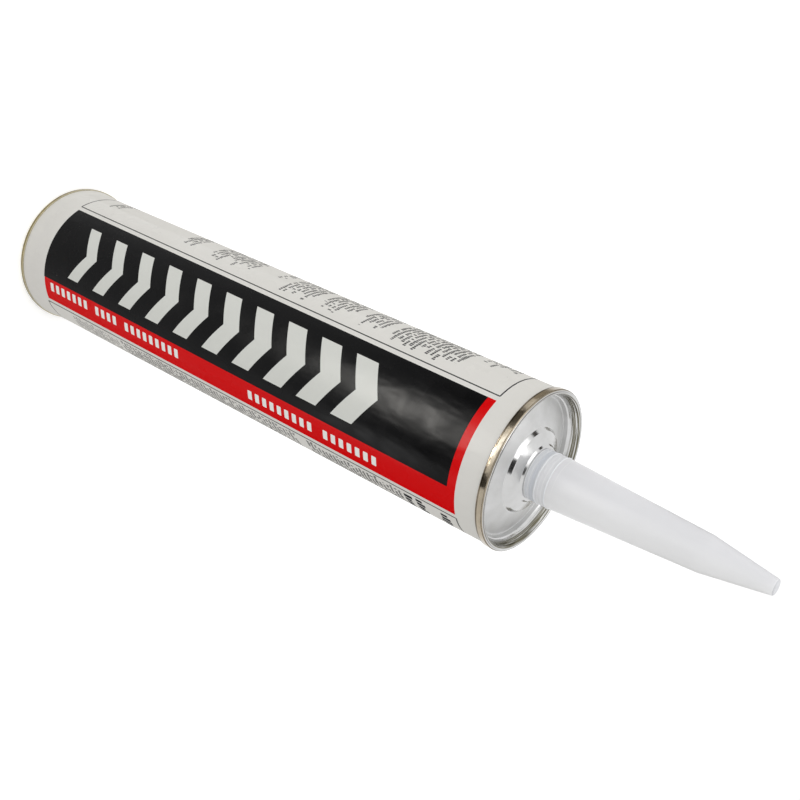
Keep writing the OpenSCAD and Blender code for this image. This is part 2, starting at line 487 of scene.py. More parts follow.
@dataclass(frozen=True)
class TextBlock:
    """A block of small print on the unrolled label, in millimetres, with ragged row ends."""

    low_z: float
    high_z: float
    low_s: float
    high_s: float
    ragged_low: float = 18.0
    ragged_high: float = 5.0
    strength: float = 0.85


@dataclass(frozen=True)
class TextColumn:
    """Blocks of small print that share the pitch of their rows and the width of a letter.

    A letter is a plain block from foot to head, in shares of the pitch, and as wide as a share
    of its place. The lots say how many letters reach lower, reach higher or are left out.
    """

    pitch: float
    letter: float
    blocks: tuple[TextBlock, ...]
    foot: float = 0.24
    head: float = 0.76
    width: float = 0.74
    reach_low: float = 0.14
    reach_high: float = 0.16
    low_lots: float = 0.14
    high_lots: float = 0.3
    gap_lots: float = 0.15
    stagger: float = 0.37


@dataclass(frozen=True)
class Chevrons:
    """A row of chevrons up the unrolled label, in millimetres, each broader than the last."""

    low_z: float = 34.0
    high_z: float = 178.0
    pitch: float = 14.4
    middle_s: float = 1.2
    half_width: float = 10.2
    rake: float = 0.62
    first_share: float = 0.4
    share_step: float = 0.022
    colour: str = "#d9dad4"


@dataclass(frozen=True)
class PrintedPaper:
    """Offset-printed, varnished label paper: flat inks, a soft shine and faint clouds in it.

    The lean is how far the print shifts round the tube for each millimetre of height, and the
    gloss ends at an angle to each side of -Y, in radians.
    """

    radius: float
    white: str = "#e5e3de"
    shade: str = "#dddbd5"
    text_ink: str = "#26272b"
    speck: str = "#9a9993"
    shapes: tuple[Ink, ...] = ()
    columns: tuple[TextColumn, ...] = ()
    chevrons: Chevrons = Chevrons()
    roughness: float = 0.25
    lean: float = 0.0089
    lean_from: float = 200.0
    gloss_to: float = 1.03
    gloss_thins: Point = (0.5, 1.0)

    def build(self) -> Material:
        """Builds the material.

        Returns:
            The label's material, on Object coordinates unrolled round the Z axis.
        """
        material, tree = new_material("Offset printed varnished paper")
        where = add(tree, "ShaderNodeTexCoord").outputs["Object"]
        parts = add(tree, "ShaderNodeSeparateXYZ", {0: where})
        flipped = add(tree, "ShaderNodeMath", {0: parts.outputs["Y"], 1: -1.0},
                      operation="MULTIPLY")
        angle = add(tree, "ShaderNodeMath", {0: parts.outputs["X"], 1: flipped},
                    operation="ARCTAN2")
        around = add(tree, "ShaderNodeMath", {0: angle, 1: self.radius}, operation="MULTIPLY")
        z = add(tree, "ShaderNodeMath", {0: parts.outputs["Z"], 1: 1 / MM}, operation="MULTIPLY")
        # The label was wound on a little askew, so its print leans round the tube
        lean = add(tree, "ShaderNodeMath", {0: z, 1: self.lean_from}, operation="SUBTRACT")
        s = add(tree, "ShaderNodeMath", {0: lean, 1: -self.lean, 2: around},
                operation="MULTIPLY_ADD")
        flat = add(tree, "ShaderNodeCombineXYZ", {"X": z, "Y": s})
        shader = self._varnish(tree, angle, flat, self._inks(tree, z, s, flat))
        add(tree, "ShaderNodeOutputMaterial", {"Surface": shader})
        return material

    def _inks(self, tree: Tree, z: Node, s: Node, flat: Node) -> Socket:
        """Prints the paper: small print, then the fields of ink, the chevrons and some specks.

        Args:
            tree: The material's tree.
            z: Height on the label in millimetres.
            s: Distance round the label in millimetres.
            flat: Both as one vector.

        Returns:
            The colour of the printed paper.
        """
        colour = add(tree, "ShaderNodeMix", {
            "Factor": add(tree, "ShaderNodeTexNoise",
                          {"Vector": flat, "Scale": 0.05, "Detail": 4.0}),
            "A": linear(self.white), "B": linear(self.shade)}, data_type="RGBA").outputs[2]
        layers = [(self._print(tree, z, s, column), self.text_ink) for column in self.columns]
        layers += [(self._box(tree, flat, ink), ink.colour) for ink in self.shapes]
        layers.append((self._chevron_row(tree, z, s), self.chevrons.colour))
        # Specks of dirt on the paper, some 0.4 mm across and a centimetre apart
        dust = add(tree, "ShaderNodeTexVoronoi",
                   {"Vector": flat, "Scale": 0.09}).outputs["Distance"]
        layers.append((add(tree, "ShaderNodeMapRange", {
            "Value": dust, "From Min": 0.016, "From Max": 0.026, "To Min": 0.4, "To Max": 0.0}),
            self.speck))
        for mask, ink in layers:
            colour = add(tree, "ShaderNodeMix", {"Factor": mask, "A": colour, "B": linear(ink)},
                         data_type="RGBA").outputs[2]
        return colour

    def _varnish(self, tree: Tree, angle: Node, flat: Node, colour: Socket) -> Node:
        """Lays a clouded varnish on the front of the label and leaves its back matte.

        Args:
            tree: The material's tree.
            angle: Angle round the tube from -Y in radians.
            flat: Place on the unrolled label in millimetres.
            colour: The printed paper.

        Returns:
            The label's shader.
        """
        bump = self._relief(tree, flat)
        # Varnish over ink: the shine is the same on paper and ink, and soft enough to cloud
        cloud = add(tree, "ShaderNodeTexNoise",
                    {"Vector": flat, "Scale": 0.1, "Detail": 4.0, "Distortion": 0.5})
        rough = add(tree, "ShaderNodeMapRange", {
            "Value": cloud, "From Min": 0.35, "From Max": 0.68,
            "To Min": self.roughness - 0.04, "To Max": self.roughness + 0.1})
        varnished, plain = (add(tree, "ShaderNodeBsdfPrincipled", {
            "Base Color": colour, "Roughness": rough, "IOR": 1.5, "Specular IOR Level": level,
            "Normal": bump})
            for level in (0.065, 0.0))
        # The varnish stops short on the -X side and thins out on the +X side
        thin = add(tree, "ShaderNodeMapRange", {
            "Value": angle, "From Min": self.gloss_thins[0], "From Max": self.gloss_thins[1]})
        bare = add(tree, "ShaderNodeMapRange", {
            "Value": angle, "From Min": -self.gloss_to, "From Max": 0.05 - self.gloss_to,
            "To Min": 1.0, "To Max": 0.0})
        back = add(tree, "ShaderNodeMath", {0: thin, 1: bare}, operation="MAXIMUM")
        return add(tree, "ShaderNodeMixShader", {0: back, 1: varnished, 2: plain})

    @staticmethod
    def _box(tree: Tree, flat: Node, ink: Ink) -> Node:
        """Masks a rounded box, its outline where the ink has a line width, or a row of blocks.

        Args:
            tree: The material's tree.
            flat: Place on the unrolled label in millimetres.
            ink: The field of ink.

        Returns:
            One on the ink and zero beside it.
        """
        high_z, within = ink.high_z, None
        if ink.pitch:
            along = add(tree, "ShaderNodeSeparateXYZ", {0: flat})
            half_z = (ink.high_z - ink.low_z) / 2
            cell = add(tree, "ShaderNodeMath", {0: along.outputs["X"], 1: ink.low_z},
                       operation="SUBTRACT")
            within = add(tree, "ShaderNodeMath", {0: cell, 1: half_z, 2: half_z},
                         operation="COMPARE")
            cell = add(tree, "ShaderNodeMath", {0: cell, 1: ink.pitch}, operation="FLOORED_MODULO")
            cell = add(tree, "ShaderNodeMath", {0: cell, 1: ink.low_z}, operation="ADD")
            flat = add(tree, "ShaderNodeCombineXYZ", {"X": cell, "Y": along.outputs["Y"]})
            high_z = ink.low_z + ink.pitch - ink.gap
        centre = ((ink.low_z + high_z) / 2, (ink.low_s + ink.high_s) / 2, 0.0)
        half = ((high_z - ink.low_z) / 2 - ink.corner, (ink.high_s - ink.low_s) / 2 - ink.corner,
                0.0)
        moved = add(tree, "ShaderNodeVectorMath", {0: flat, 1: centre}, operation="SUBTRACT")
        folded = add(tree, "ShaderNodeVectorMath", {0: moved}, operation="ABSOLUTE")
        shrunk = add(tree, "ShaderNodeVectorMath", {0: folded, 1: half}, operation="SUBTRACT")
        outside = add(tree, "ShaderNodeVectorMath", {0: shrunk, 1: (0.0, 0.0, 0.0)},
                      operation="MAXIMUM")
        reach = add(tree, "ShaderNodeVectorMath", {0: outside}, operation="LENGTH").outputs["Value"]
        if ink.line:
            return add(tree, "ShaderNodeMath", {0: reach, 1: ink.corner, 2: ink.line / 2},
                       operation="COMPARE")
        mask = add(tree, "ShaderNodeMath", {0: reach, 1: ink.corner}, operation="LESS_THAN")
        if within:
            mask = add(tree, "ShaderNodeMath", {0: mask, 1: within}, operation="MULTIPLY")
        return mask

    def _print(self, tree: Tree, z: Node, s: Node, column: TextColumn) -> Node:
        """Masks rows of plain small blocks, as wide and as tall as letters, in each text block.

        Args:
            tree: The material's tree.
            z: Height on the label in millimetres.
            s: Distance round the label in millimetres.
            column: The column of print.

        Returns:
            How much ink lies at each place.
        """
        v = add(tree, "ShaderNodeMath", {0: z, 1: column.pitch}, operation="DIVIDE")
        row = add(tree, "ShaderNodeMath", {0: v}, operation="FLOOR")
        level = add(tree, "ShaderNodeMath", {0: v}, operation="FRACT")
        place = add(tree, "ShaderNodeMath", {0: s, 1: column.letter}, operation="DIVIDE")
        place = add(tree, "ShaderNodeMath", {0: row, 1: column.stagger, 2: place},
                    operation="MULTIPLY_ADD")
        cell = add(tree, "ShaderNodeMath", {0: place}, operation="FLOOR")
        across = add(tree, "ShaderNodeMath", {0: place}, operation="FRACT")
        dice = add(tree, "ShaderNodeTexWhiteNoise", {
            "Vector": add(tree, "ShaderNodeCombineXYZ", {"X": cell, "Y": row})},
                   noise_dimensions="2D")
        lot = add(tree, "ShaderNodeSeparateColor", {0: dice.outputs["Color"]})
        lower, higher, ink = (
            add(tree, "ShaderNodeMath", {0: lot.outputs[name], 1: limit}, operation="GREATER_THAN")
            for name, limit in (("Red", 1 - column.low_lots), ("Green", 1 - column.high_lots),
                                ("Blue", column.gap_lots)))
        foot = add(tree, "ShaderNodeMath", {0: lower, 1: -column.reach_low, 2: column.foot},
                   operation="MULTIPLY_ADD")
        head = add(tree, "ShaderNodeMath", {0: higher, 1: column.reach_high, 2: column.head},
                   operation="MULTIPLY_ADD")
        for value, limit, kind in ((level, foot, "GREATER_THAN"), (level, head, "LESS_THAN"),
                                   (across, column.width, "LESS_THAN")):
            kept = add(tree, "ShaderNodeMath", {0: value, 1: limit}, operation=kind)
            ink = add(tree, "ShaderNodeMath", {0: ink, 1: kept}, operation="MULTIPLY")
        area = 0.0
        for block in column.blocks:
            inside = self._outline(tree, z, s, row, column.pitch, block)
            area = add(tree, "ShaderNodeMath", {0: inside, 1: area}, operation="MAXIMUM")
        return add(tree, "ShaderNodeMath", {0: ink, 1: area}, operation="MULTIPLY")

    @staticmethod
    def _outline(tree: Tree, z: Node, s: Node, row: Node, pitch: float, block: TextBlock) -> Node:
        """Masks one text block, with whole rows whose ends differ.

        Args:
            tree: The material's tree.
            z: Height on the label in millimetres.
            s: Distance round the label in millimetres.
            row: Number of the row at each place.
            pitch: Distance from row to row.
            block: Where the block lies.

        Returns:
            The block's strength inside it, and zero outside.
        """
        low, high = (round(edge / pitch) * pitch for edge in (block.low_z, block.high_z))
        mask = add(tree, "ShaderNodeMath", {0: z, 1: (low + high) / 2, 2: (high - low) / 2},
                   operation="COMPARE")
        for edge, ragged, kind in ((block.low_s, block.ragged_low, "GREATER_THAN"),
                                   (block.high_s, -block.ragged_high, "LESS_THAN")):
            seed = add(tree, "ShaderNodeMath", {0: row, 1: edge}, operation="ADD")
            roll = add(tree, "ShaderNodeTexWhiteNoise", {"W": seed}, noise_dimensions="1D")
            limit = add(tree, "ShaderNodeMath", {0: roll.outputs["Value"], 1: ragged, 2: edge},
                        operation="MULTIPLY_ADD")
            kept = add(tree, "ShaderNodeMath", {0: s, 1: limit}, operation=kind)
            mask = add(tree, "ShaderNodeMath", {0: mask, 1: kept}, operation="MULTIPLY")
        return add(tree, "ShaderNodeMath", {0: mask, 1: block.strength}, operation="MULTIPLY")

    def _chevron_row(self, tree: Tree, z: Node, s: Node) -> Node:
        """Masks the row of chevrons that point to the nozzle.

        Args:
            tree: The material's tree.
            z: Height on the label in millimetres.
            s: Distance round the label in millimetres.

        Returns:
            One on a chevron and zero beside it.
        """
        row = self.chevrons
        off = add(tree, "ShaderNodeMath", {0: s, 1: row.middle_s}, operation="SUBTRACT")
        off = add(tree, "ShaderNodeMath", {0: off}, operation="ABSOLUTE")
        swept = add(tree, "ShaderNodeMath", {0: off, 1: row.rake, 2: z}, operation="MULTIPLY_ADD")
        u = add(tree, "ShaderNodeMath", {0: swept, 1: row.low_z}, operation="SUBTRACT")
        u = add(tree, "ShaderNodeMath", {0: u, 1: row.pitch}, operation="DIVIDE")
        count = add(tree, "ShaderNodeMath", {0: u}, operation="FLOOR")
        share = add(tree, "ShaderNodeMath", {0: count, 1: row.share_step, 2: row.first_share},
                    operation="MULTIPLY_ADD")
        within = add(tree, "ShaderNodeMath", {0: u}, operation="FRACT")
        mask = add(tree, "ShaderNodeMath", {0: within, 1: share}, operation="LESS_THAN")
        for value, limit, kind in ((off, row.half_width, "LESS_THAN"),
                                   (swept, row.low_z, "GREATER_THAN"),
                                   (swept, row.high_z, "LESS_THAN")):
            kept = add(tree, "ShaderNodeMath", {0: value, 1: limit}, operation=kind)
            mask = add(tree, "ShaderNodeMath", {0: mask, 1: kept}, operation="MULTIPLY")
        return mask

    @staticmethod
    def _relief(tree: Tree, flat: Node) -> Node:
        """Gives the label's relief: slack waves over the wound tube, then the paper's grain.

        Args:
            tree: The material's tree.
            flat: Place on the unrolled label in millimetres.

        Returns:
            The bumped normal.
        """
        slanted = add(tree, "ShaderNodeMapping", {
            "Vector": flat, "Rotation": (0.0, 0.0, 0.9), "Scale": (0.05, 0.16, 1.0)})
        waves = add(tree, "ShaderNodeTexNoise", {"Vector": slanted, "Scale": 1.0, "Detail": 2.0})
        peel = add(tree, "ShaderNodeTexNoise", {"Vector": flat, "Scale": 0.45, "Detail": 2.0})
        grain = add(tree, "ShaderNodeTexNoise", {"Vector": flat, "Scale": 2.2, "Detail": 3.0})
        slow = add(tree, "ShaderNodeBump", {"Height": waves, "Strength": 0.8, "Distance": 0.0004})
        slow = add(tree, "ShaderNodeBump",
                   {"Height": peel, "Strength": 0.14, "Distance": 0.0001, "Normal": slow})
        return add(tree, "ShaderNodeBump", {
            "Height": grain, "Strength": 0.15, "Distance": 0.00002, "Normal": slow})


@dataclass(frozen=True)
class KraftFibreboard:
    """Spiral-wound kraft board: brown, matte and fibrous, with the liner's seam as a thin helix."""

    light: str = "#b9986c"
    dark: str = "#8f7049"
    seam: str = "#6d5334"
    lead: float = 88.0

    def build(self) -> Material:
        """Builds the material.

        Returns:
            The board's material.
        """
        material, tree = new_material("Spiral wound kraft board")
        where = add(tree, "ShaderNodeTexCoord").outputs["Object"]
        parts = add(tree, "ShaderNodeSeparateXYZ", {0: where})
        angle = add(tree, "ShaderNodeMath", {0: parts.outputs["Y"], 1: parts.outputs["X"]},
                    operation="ARCTAN2")
        turn = add(tree, "ShaderNodeMath", {0: angle, 1: math.tau}, operation="DIVIDE")
        climb = add(tree, "ShaderNodeMath", {0: parts.outputs["Z"], 1: 1000 / self.lead, 2: turn},
                    operation="MULTIPLY_ADD")
        phase = add(tree, "ShaderNodeMath", {0: climb}, operation="FRACT")
        seam = add(tree, "ShaderNodeMath", {0: phase, 1: 0.5, 2: 0.004}, operation="COMPARE")
        fibres = add(tree, "ShaderNodeTexNoise", {
            "Vector": add(tree, "ShaderNodeMapping",
                          {"Vector": where, "Scale": (900.0, 900.0, 2600.0)}),
            "Scale": 1.0, "Detail": 5.0, "Roughness": 0.65})
        patches = add(tree, "ShaderNodeTexNoise", {"Vector": where, "Scale": 120.0, "Detail": 2.0})
        both = add(tree, "ShaderNodeMath", {0: fibres, 1: 0.7, 2: patches},
                   operation="MULTIPLY_ADD")
        spread = add(tree, "ShaderNodeMapRange", {"Value": both, "From Min": 0.6, "From Max": 1.1})
        board = add(tree, "ShaderNodeMix", {
            "Factor": spread, "A": linear(self.dark), "B": linear(self.light)},
                    data_type="RGBA").outputs[2]
        lined = add(tree, "ShaderNodeMix", {"Factor": seam, "A": board, "B": linear(self.seam)},
                    data_type="RGBA").outputs[2]
        bump = add(tree, "ShaderNodeBump", {"Height": fibres, "Strength": 0.4, "Distance": 0.00008})
        shader = add(tree, "ShaderNodeBsdfPrincipled", {
            "Base Color": lined, "Roughness": 0.86, "Specular IOR Level": 0.25, "Normal": bump})
        add(tree, "ShaderNodeOutputMaterial", {"Surface": shader})
        return material


@dataclass(frozen=True)
class Band:
    """A band round a piece, between two heights in millimetres, that has another colour."""

    low: float
    high: float
    colour: str
    share: float


def banded(tree: Tree, z: Node, bands: tuple[Band, ...],
           under: Socket) -> Socket:
    """Lays bands over a colour.

    Args:
        tree: The material's tree.
        z: Height in millimetres.
        bands: The bands, the last one on top.
        under: The colour under them.

    Returns:
        The colour with its bands.
    """
    for band in bands:
        inside = add(tree, "ShaderNodeMath", {
            0: z, 1: (band.low + band.high) / 2, 2: (band.high - band.low) / 2},
                     operation="COMPARE")
        inside = add(tree, "ShaderNodeMath", {0: inside, 1: band.share}, operation="MULTIPLY")
        under = add(tree, "ShaderNodeMix", {"Factor": inside, "A": under, "B": linear(band.colour)},
                    data_type="RGBA").outputs[2]
    return under


@dataclass(frozen=True)
class SheetMetal:
    """Thin pressed sheet: rolled grain, drawn waves, satin rings and a tinted edge.

    A ring is a range of radius, a satin one with its roughness. Below the painted shade's
    height the tinted edge is painted dark, as painted shade at the band's foot, and a dark ring
    on the side at -Y is a painted dark reflection. All are in millimetres, and a ring or a height
    that no piece reaches leaves its place out.
    """

    title: str
    bright: str
    dull: str
    smooth: float
    wave: float = 0.1
    satin_rings: tuple[Place, ...] = ()
    drawn_ring: Point = (90.0, 91.0)
    drawn: str = "#6e6a58"
    tint_from: float = 99.0
    tint: str = "#ffffff"
    painted_shade: str = "#574f43"
    shade_below_z: float = -99.0
    dark_reflection_ring: Point = (90.0, 91.0)
    dark_reflection: str = "#4f483d"
    bands: tuple[Band, ...] = ()

    def build(self) -> Material:
        """Builds the material.

        Returns:
            A bare or lacquered metal, with its satin, drawn and tinted places set by radius.
        """
        material, tree = new_material(self.title)
        where = add(tree, "ShaderNodeTexCoord").outputs["Object"]
        parts = add(tree, "ShaderNodeSeparateXYZ", {0: where})
        level = add(tree, "ShaderNodeCombineXYZ",
                    {"X": parts.outputs["X"], "Y": parts.outputs["Y"]})
        radius = add(tree, "ShaderNodeVectorMath", {0: level}, operation="LENGTH").outputs["Value"]
        radius = add(tree, "ShaderNodeMath", {0: radius, 1: 1 / MM}, operation="MULTIPLY")
        z = add(tree, "ShaderNodeMath", {0: parts.outputs["Z"], 1: 1 / MM}, operation="MULTIPLY")
        stain = add(tree, "ShaderNodeTexNoise",
                    {"Vector": where, "Scale": 160.0, "Detail": 5.0, "Roughness": 0.6})
        stain = add(tree, "ShaderNodeMapRange", {"Value": stain, "From Min": 0.35, "From Max": 0.7})
        colour = add(tree, "ShaderNodeMix", {
            "Factor": stain, "A": linear(self.bright), "B": linear(self.dull)},
                     data_type="RGBA").outputs[2]
        # Drawing over the tool leaves streaks along the wall, which run round the axis
        along = add(tree, "ShaderNodeMath", {0: z, 1: radius}, operation="ADD")
        lines = add(tree, "ShaderNodeCombineXYZ", {
            axis: add(tree, "ShaderNodeMath", {0: value, 1: scale}, operation="MULTIPLY")
            for axis, value, scale in (("X", parts.outputs["X"], 55.0),
                                       ("Y", parts.outputs["Y"], 55.0), ("Z", along, 1.9))})
        streak = add(tree, "ShaderNodeTexNoise", {"Vector": lines, "Scale": 1.0, "Detail": 2.0})
        streak = add(tree, "ShaderNodeMapRange",
                     {"Value": streak, "From Min": 0.42, "From Max": 0.56})
        streak = add(tree, "ShaderNodeMath",
                     {0: streak, 1: self._ring(tree, radius, self.drawn_ring)},
                     operation="MULTIPLY")
        edge = add(tree, "ShaderNodeMapRange", {
            "Value": radius, "From Min": self.tint_from, "From Max": self.tint_from + 0.15})
        # Painted dark reflection: a dark ring on the crown, laid on the side at -Y only
        on_front_side = add(tree, "ShaderNodeMapRange", {
            "Value": parts.outputs["Y"], "From Min": -0.012, "From Max": 0.002, "To Min": 0.9,
            "To Max": 0.0})
        dark_reflection_mask = add(tree, "ShaderNodeMath",
                      {0: self._ring(tree, radius, self.dark_reflection_ring), 1: on_front_side},
                      operation="MULTIPLY")
        for mask, over in ((streak, linear(self.drawn)), (edge, self._tint(tree, z, stain)),
                           (dark_reflection_mask, linear(self.dark_reflection))):
            colour = add(tree, "ShaderNodeMix", {"Factor": mask, "A": colour, "B": over},
                         data_type="RGBA").outputs[2]
        colour = banded(tree, z, self.bands, colour)
        rough = add(tree, "ShaderNodeMath", {0: stain, 1: 0.06, 2: self.smooth},
                    operation="MULTIPLY_ADD")
        for inner_r, outer_r, satin in self.satin_rings:
            ring = self._ring(tree, radius, (inner_r, outer_r))
            rough = add(tree, "ShaderNodeMath", {0: ring, 1: satin - self.smooth, 2: rough},
                        operation="MULTIPLY_ADD")
        shader = add(tree, "ShaderNodeBsdfPrincipled", {
            "Base Color": colour, "Metallic": 1.0, "Roughness": rough,
            "Normal": self._relief(tree, where, edge, streak)})
        add(tree, "ShaderNodeOutputMaterial", {"Surface": shader})
        return material

    def _tint(self, tree: Tree, z: Node, stain: Node) -> Socket:
        """Mixes the colour of the tinted edge, worn in spots and painted dark below a height as
        shade.

        Args:
            tree: The material's tree.
            z: Height in millimetres.
            stain: How stained the metal is at each place.

        Returns:
            The edge's colour.
        """
        wear_and_shade = add(tree, "ShaderNodeMath", {0: stain, 1: 0.4}, operation="MULTIPLY")
        # Painted shade: below this height the tinted edge is painted dark, where the band meets the
        # label
        painted_shade = add(tree, "ShaderNodeMapRange", {
            "Value": z, "From Min": self.shade_below_z - 0.06, "From Max": self.shade_below_z + 0.06,
            "To Min": 0.9, "To Max": 0.0})
        wear_and_shade = add(tree, "ShaderNodeMath", {0: wear_and_shade, 1: painted_shade}, operation="MAXIMUM")
        return add(tree, "ShaderNodeMix", {
            "Factor": wear_and_shade, "A": linear(self.tint), "B": linear(self.painted_shade)},
                   data_type="RGBA").outputs[2]

    def _relief(self, tree: Tree, where: Socket, edge: Node, streak: Node) -> Node:
        """Gives the metal's relief: waves and dents, drawing streaks, then the rolled grain.

        Args:
            tree: The material's tree.
            where: Object coordinates.
            edge: One on the tinted edge and zero inside it.
            streak: Where the drawing streaks lie.

        Returns:
            The bumped normal.
        """
        # The tinted edge was rolled shut, which leaves it dented
        waves = add(tree, "ShaderNodeTexNoise", {"Vector": where, "Scale": 330.0, "Detail": 2.0})
        dents = add(tree, "ShaderNodeMath", {0: edge, 1: 1.6, 2: 1.0}, operation="MULTIPLY_ADD")
        dents = add(tree, "ShaderNodeMath", {0: waves, 1: dents}, operation="MULTIPLY")
        # Rolling grain is some microns wide; it is drawn at 0.15 mm so that it shows
        rolled = add(tree, "ShaderNodeMapping", {"Vector": where, "Scale": (6500.0, 500.0, 500.0)})
        grain = add(tree, "ShaderNodeTexNoise", {"Vector": rolled, "Scale": 1.0, "Detail": 3.0})
        slack = add(tree, "ShaderNodeBump",
                    {"Height": dents, "Strength": self.wave, "Distance": 0.0003})
        lines = add(tree, "ShaderNodeBump", {
            "Height": streak, "Strength": 0.5, "Distance": 0.0001, "Normal": slack})
        return add(tree, "ShaderNodeBump", {
            "Height": grain, "Strength": 0.1, "Distance": 0.00001, "Normal": lines})

    @staticmethod
    def _ring(tree: Tree, radius: Node, ring: Point, soft: float = 0.3) -> Node:
        """Masks a soft-edged ring.

        Args:
            tree: The material's tree.
            radius: Distance from the axis in millimetres.
            ring: Its inner and outer radius.
            soft: How wide its soft edges are.

        Returns:
            One inside the ring and zero beyond it.
        """
        inside = add(tree, "ShaderNodeMapRange", {
            "Value": radius, "From Min": ring[0], "From Max": ring[0] + soft})
        beyond = add(tree, "ShaderNodeMapRange", {
            "Value": radius, "From Min": ring[1] - soft, "From Max": ring[1], "To Min": 1.0,
            "To Max": 0.0})
        return add(tree, "ShaderNodeMath", {0: inside, 1: beyond}, operation="MULTIPLY")


@dataclass(frozen=True)
class Polyethylene:
    """Moulded polyethylene: milky, waxy and softly shining, and light soaks into it.

    The depth that light soaks is in metres, and the painted light share, from 0 to 1, says
    how much lighter the +X side is painted, as painted light on its shaded side.
    """

    title: str
    milk: str
    clear: str
    roughness: float
    depth: float
    soak: float
    painted_light_share: float = 0.0
    bands: tuple[Band, ...] = ()

    def build(self) -> Material:
        """Builds the material.

        Returns:
            A translucent plastic with faint flow clouds and fine mould lines.
        """
        material, tree = new_material(self.title)
        where = add(tree, "ShaderNodeTexCoord").outputs["Object"]
        flow = add(tree, "ShaderNodeTexNoise", {
            "Vector": add(tree, "ShaderNodeMapping",
                          {"Vector": where, "Scale": (260.0, 260.0, 40.0)}),
            "Scale": 1.0, "Detail": 3.0})
        # Painted light: the +X side is painted milkier and lighter, so that its shaded side
        # looks lit through the wall
        parts = add(tree, "ShaderNodeSeparateXYZ", {0: where})
        level = add(tree, "ShaderNodeCombineXYZ",
                    {"X": parts.outputs["X"], "Y": parts.outputs["Y"]})
        level = add(tree, "ShaderNodeVectorMath", {0: level}, operation="NORMALIZE")
        painted_light = add(tree, "ShaderNodeMapRange", {
            "Value": add(tree, "ShaderNodeSeparateXYZ", {0: level}).outputs["X"],
            "From Min": -0.35, "From Max": 0.9, "To Max": self.painted_light_share})
        milk_and_light = add(tree, "ShaderNodeMath", {0: flow, 1: 1.0 - self.painted_light_share, 2: painted_light},
                    operation="MULTIPLY_ADD")
        colour = add(tree, "ShaderNodeMix", {
            "Factor": milk_and_light, "A": linear(self.clear), "B": linear(self.milk)},
                     data_type="RGBA").outputs[2]
        z = add(tree, "ShaderNodeMath", {0: parts.outputs["Z"], 1: 1 / MM}, operation="MULTIPLY")
        colour = banded(tree, z, self.bands, colour)
        rough = add(tree, "ShaderNodeMapRange", {
            "Value": flow, "To Min": self.roughness - 0.05, "To Max": self.roughness + 0.06})
        peel = add(tree, "ShaderNodeTexNoise", {"Vector": where, "Scale": 900.0, "Detail": 2.0})
        slow = add(tree, "ShaderNodeBump", {"Height": flow, "Strength": 0.25, "Distance": 0.0003})
        bump = add(tree, "ShaderNodeBump", {
            "Height": peel, "Strength": 0.1, "Distance": 0.00003, "Normal": slow})
        shader = add(tree, "ShaderNodeBsdfPrincipled", {
            "Base Color": colour, "Roughness": rough, "IOR": 1.51, "Subsurface Weight": self.soak,
            "Subsurface Radius": (1.0, 1.0, 1.0), "Subsurface Scale": self.depth, "Normal": bump})
        add(tree, "ShaderNodeOutputMaterial", {"Surface": shader})
        return material


@dataclass(frozen=True)
class SealantPaste:
    """Filled polymer sealant: a smooth grey-white paste with small pits and a damp shine."""

    light: str = "#d8d5cc"
    dark: str = "#bfbbb0"

    def build(self) -> Material:
        """Builds the material.

        Returns:
            The paste's material.
        """
        material, tree = new_material("Polymer sealant paste")
        where = add(tree, "ShaderNodeTexCoord").outputs["Object"]
        swirl = add(tree, "ShaderNodeTexNoise",
                    {"Vector": where, "Scale": 90.0, "Detail": 4.0, "Distortion": 1.2})
        colour = add(tree, "ShaderNodeMix", {
            "Factor": swirl, "A": linear(self.light), "B": linear(self.dark)},
                     data_type="RGBA").outputs[2]
        pits = add(tree, "ShaderNodeTexVoronoi", {"Vector": where, "Scale": 420.0})
        bump = add(tree, "ShaderNodeBump", {"Height": pits, "Strength": 0.2, "Distance": 0.0002})
        shader = add(tree, "ShaderNodeBsdfPrincipled", {
            "Base Color": colour, "Roughness": 0.38, "Subsurface Weight": 0.1,
            "Subsurface Radius": (1.0, 0.9, 0.8), "Subsurface Scale": 0.001, "Normal": bump})
        add(tree, "ShaderNodeOutputMaterial", {"Surface": shader})
        return material


# Sub-assemblies


def dress(piece: Piece, body: Body, node: str) -> Piece:
    """Gives a finished piece its body and the solid that it stands for.

    Args:
        piece: The finished piece.
        body: The body that it moves with.
        node: The node that it replaces.

    Returns:
        The same piece.
    """
    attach(piece, body.value)
    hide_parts(node)
    log.info("%s: %d faces, rides on %s", piece.name, len(piece.data.polygons), body.value)
    return piece


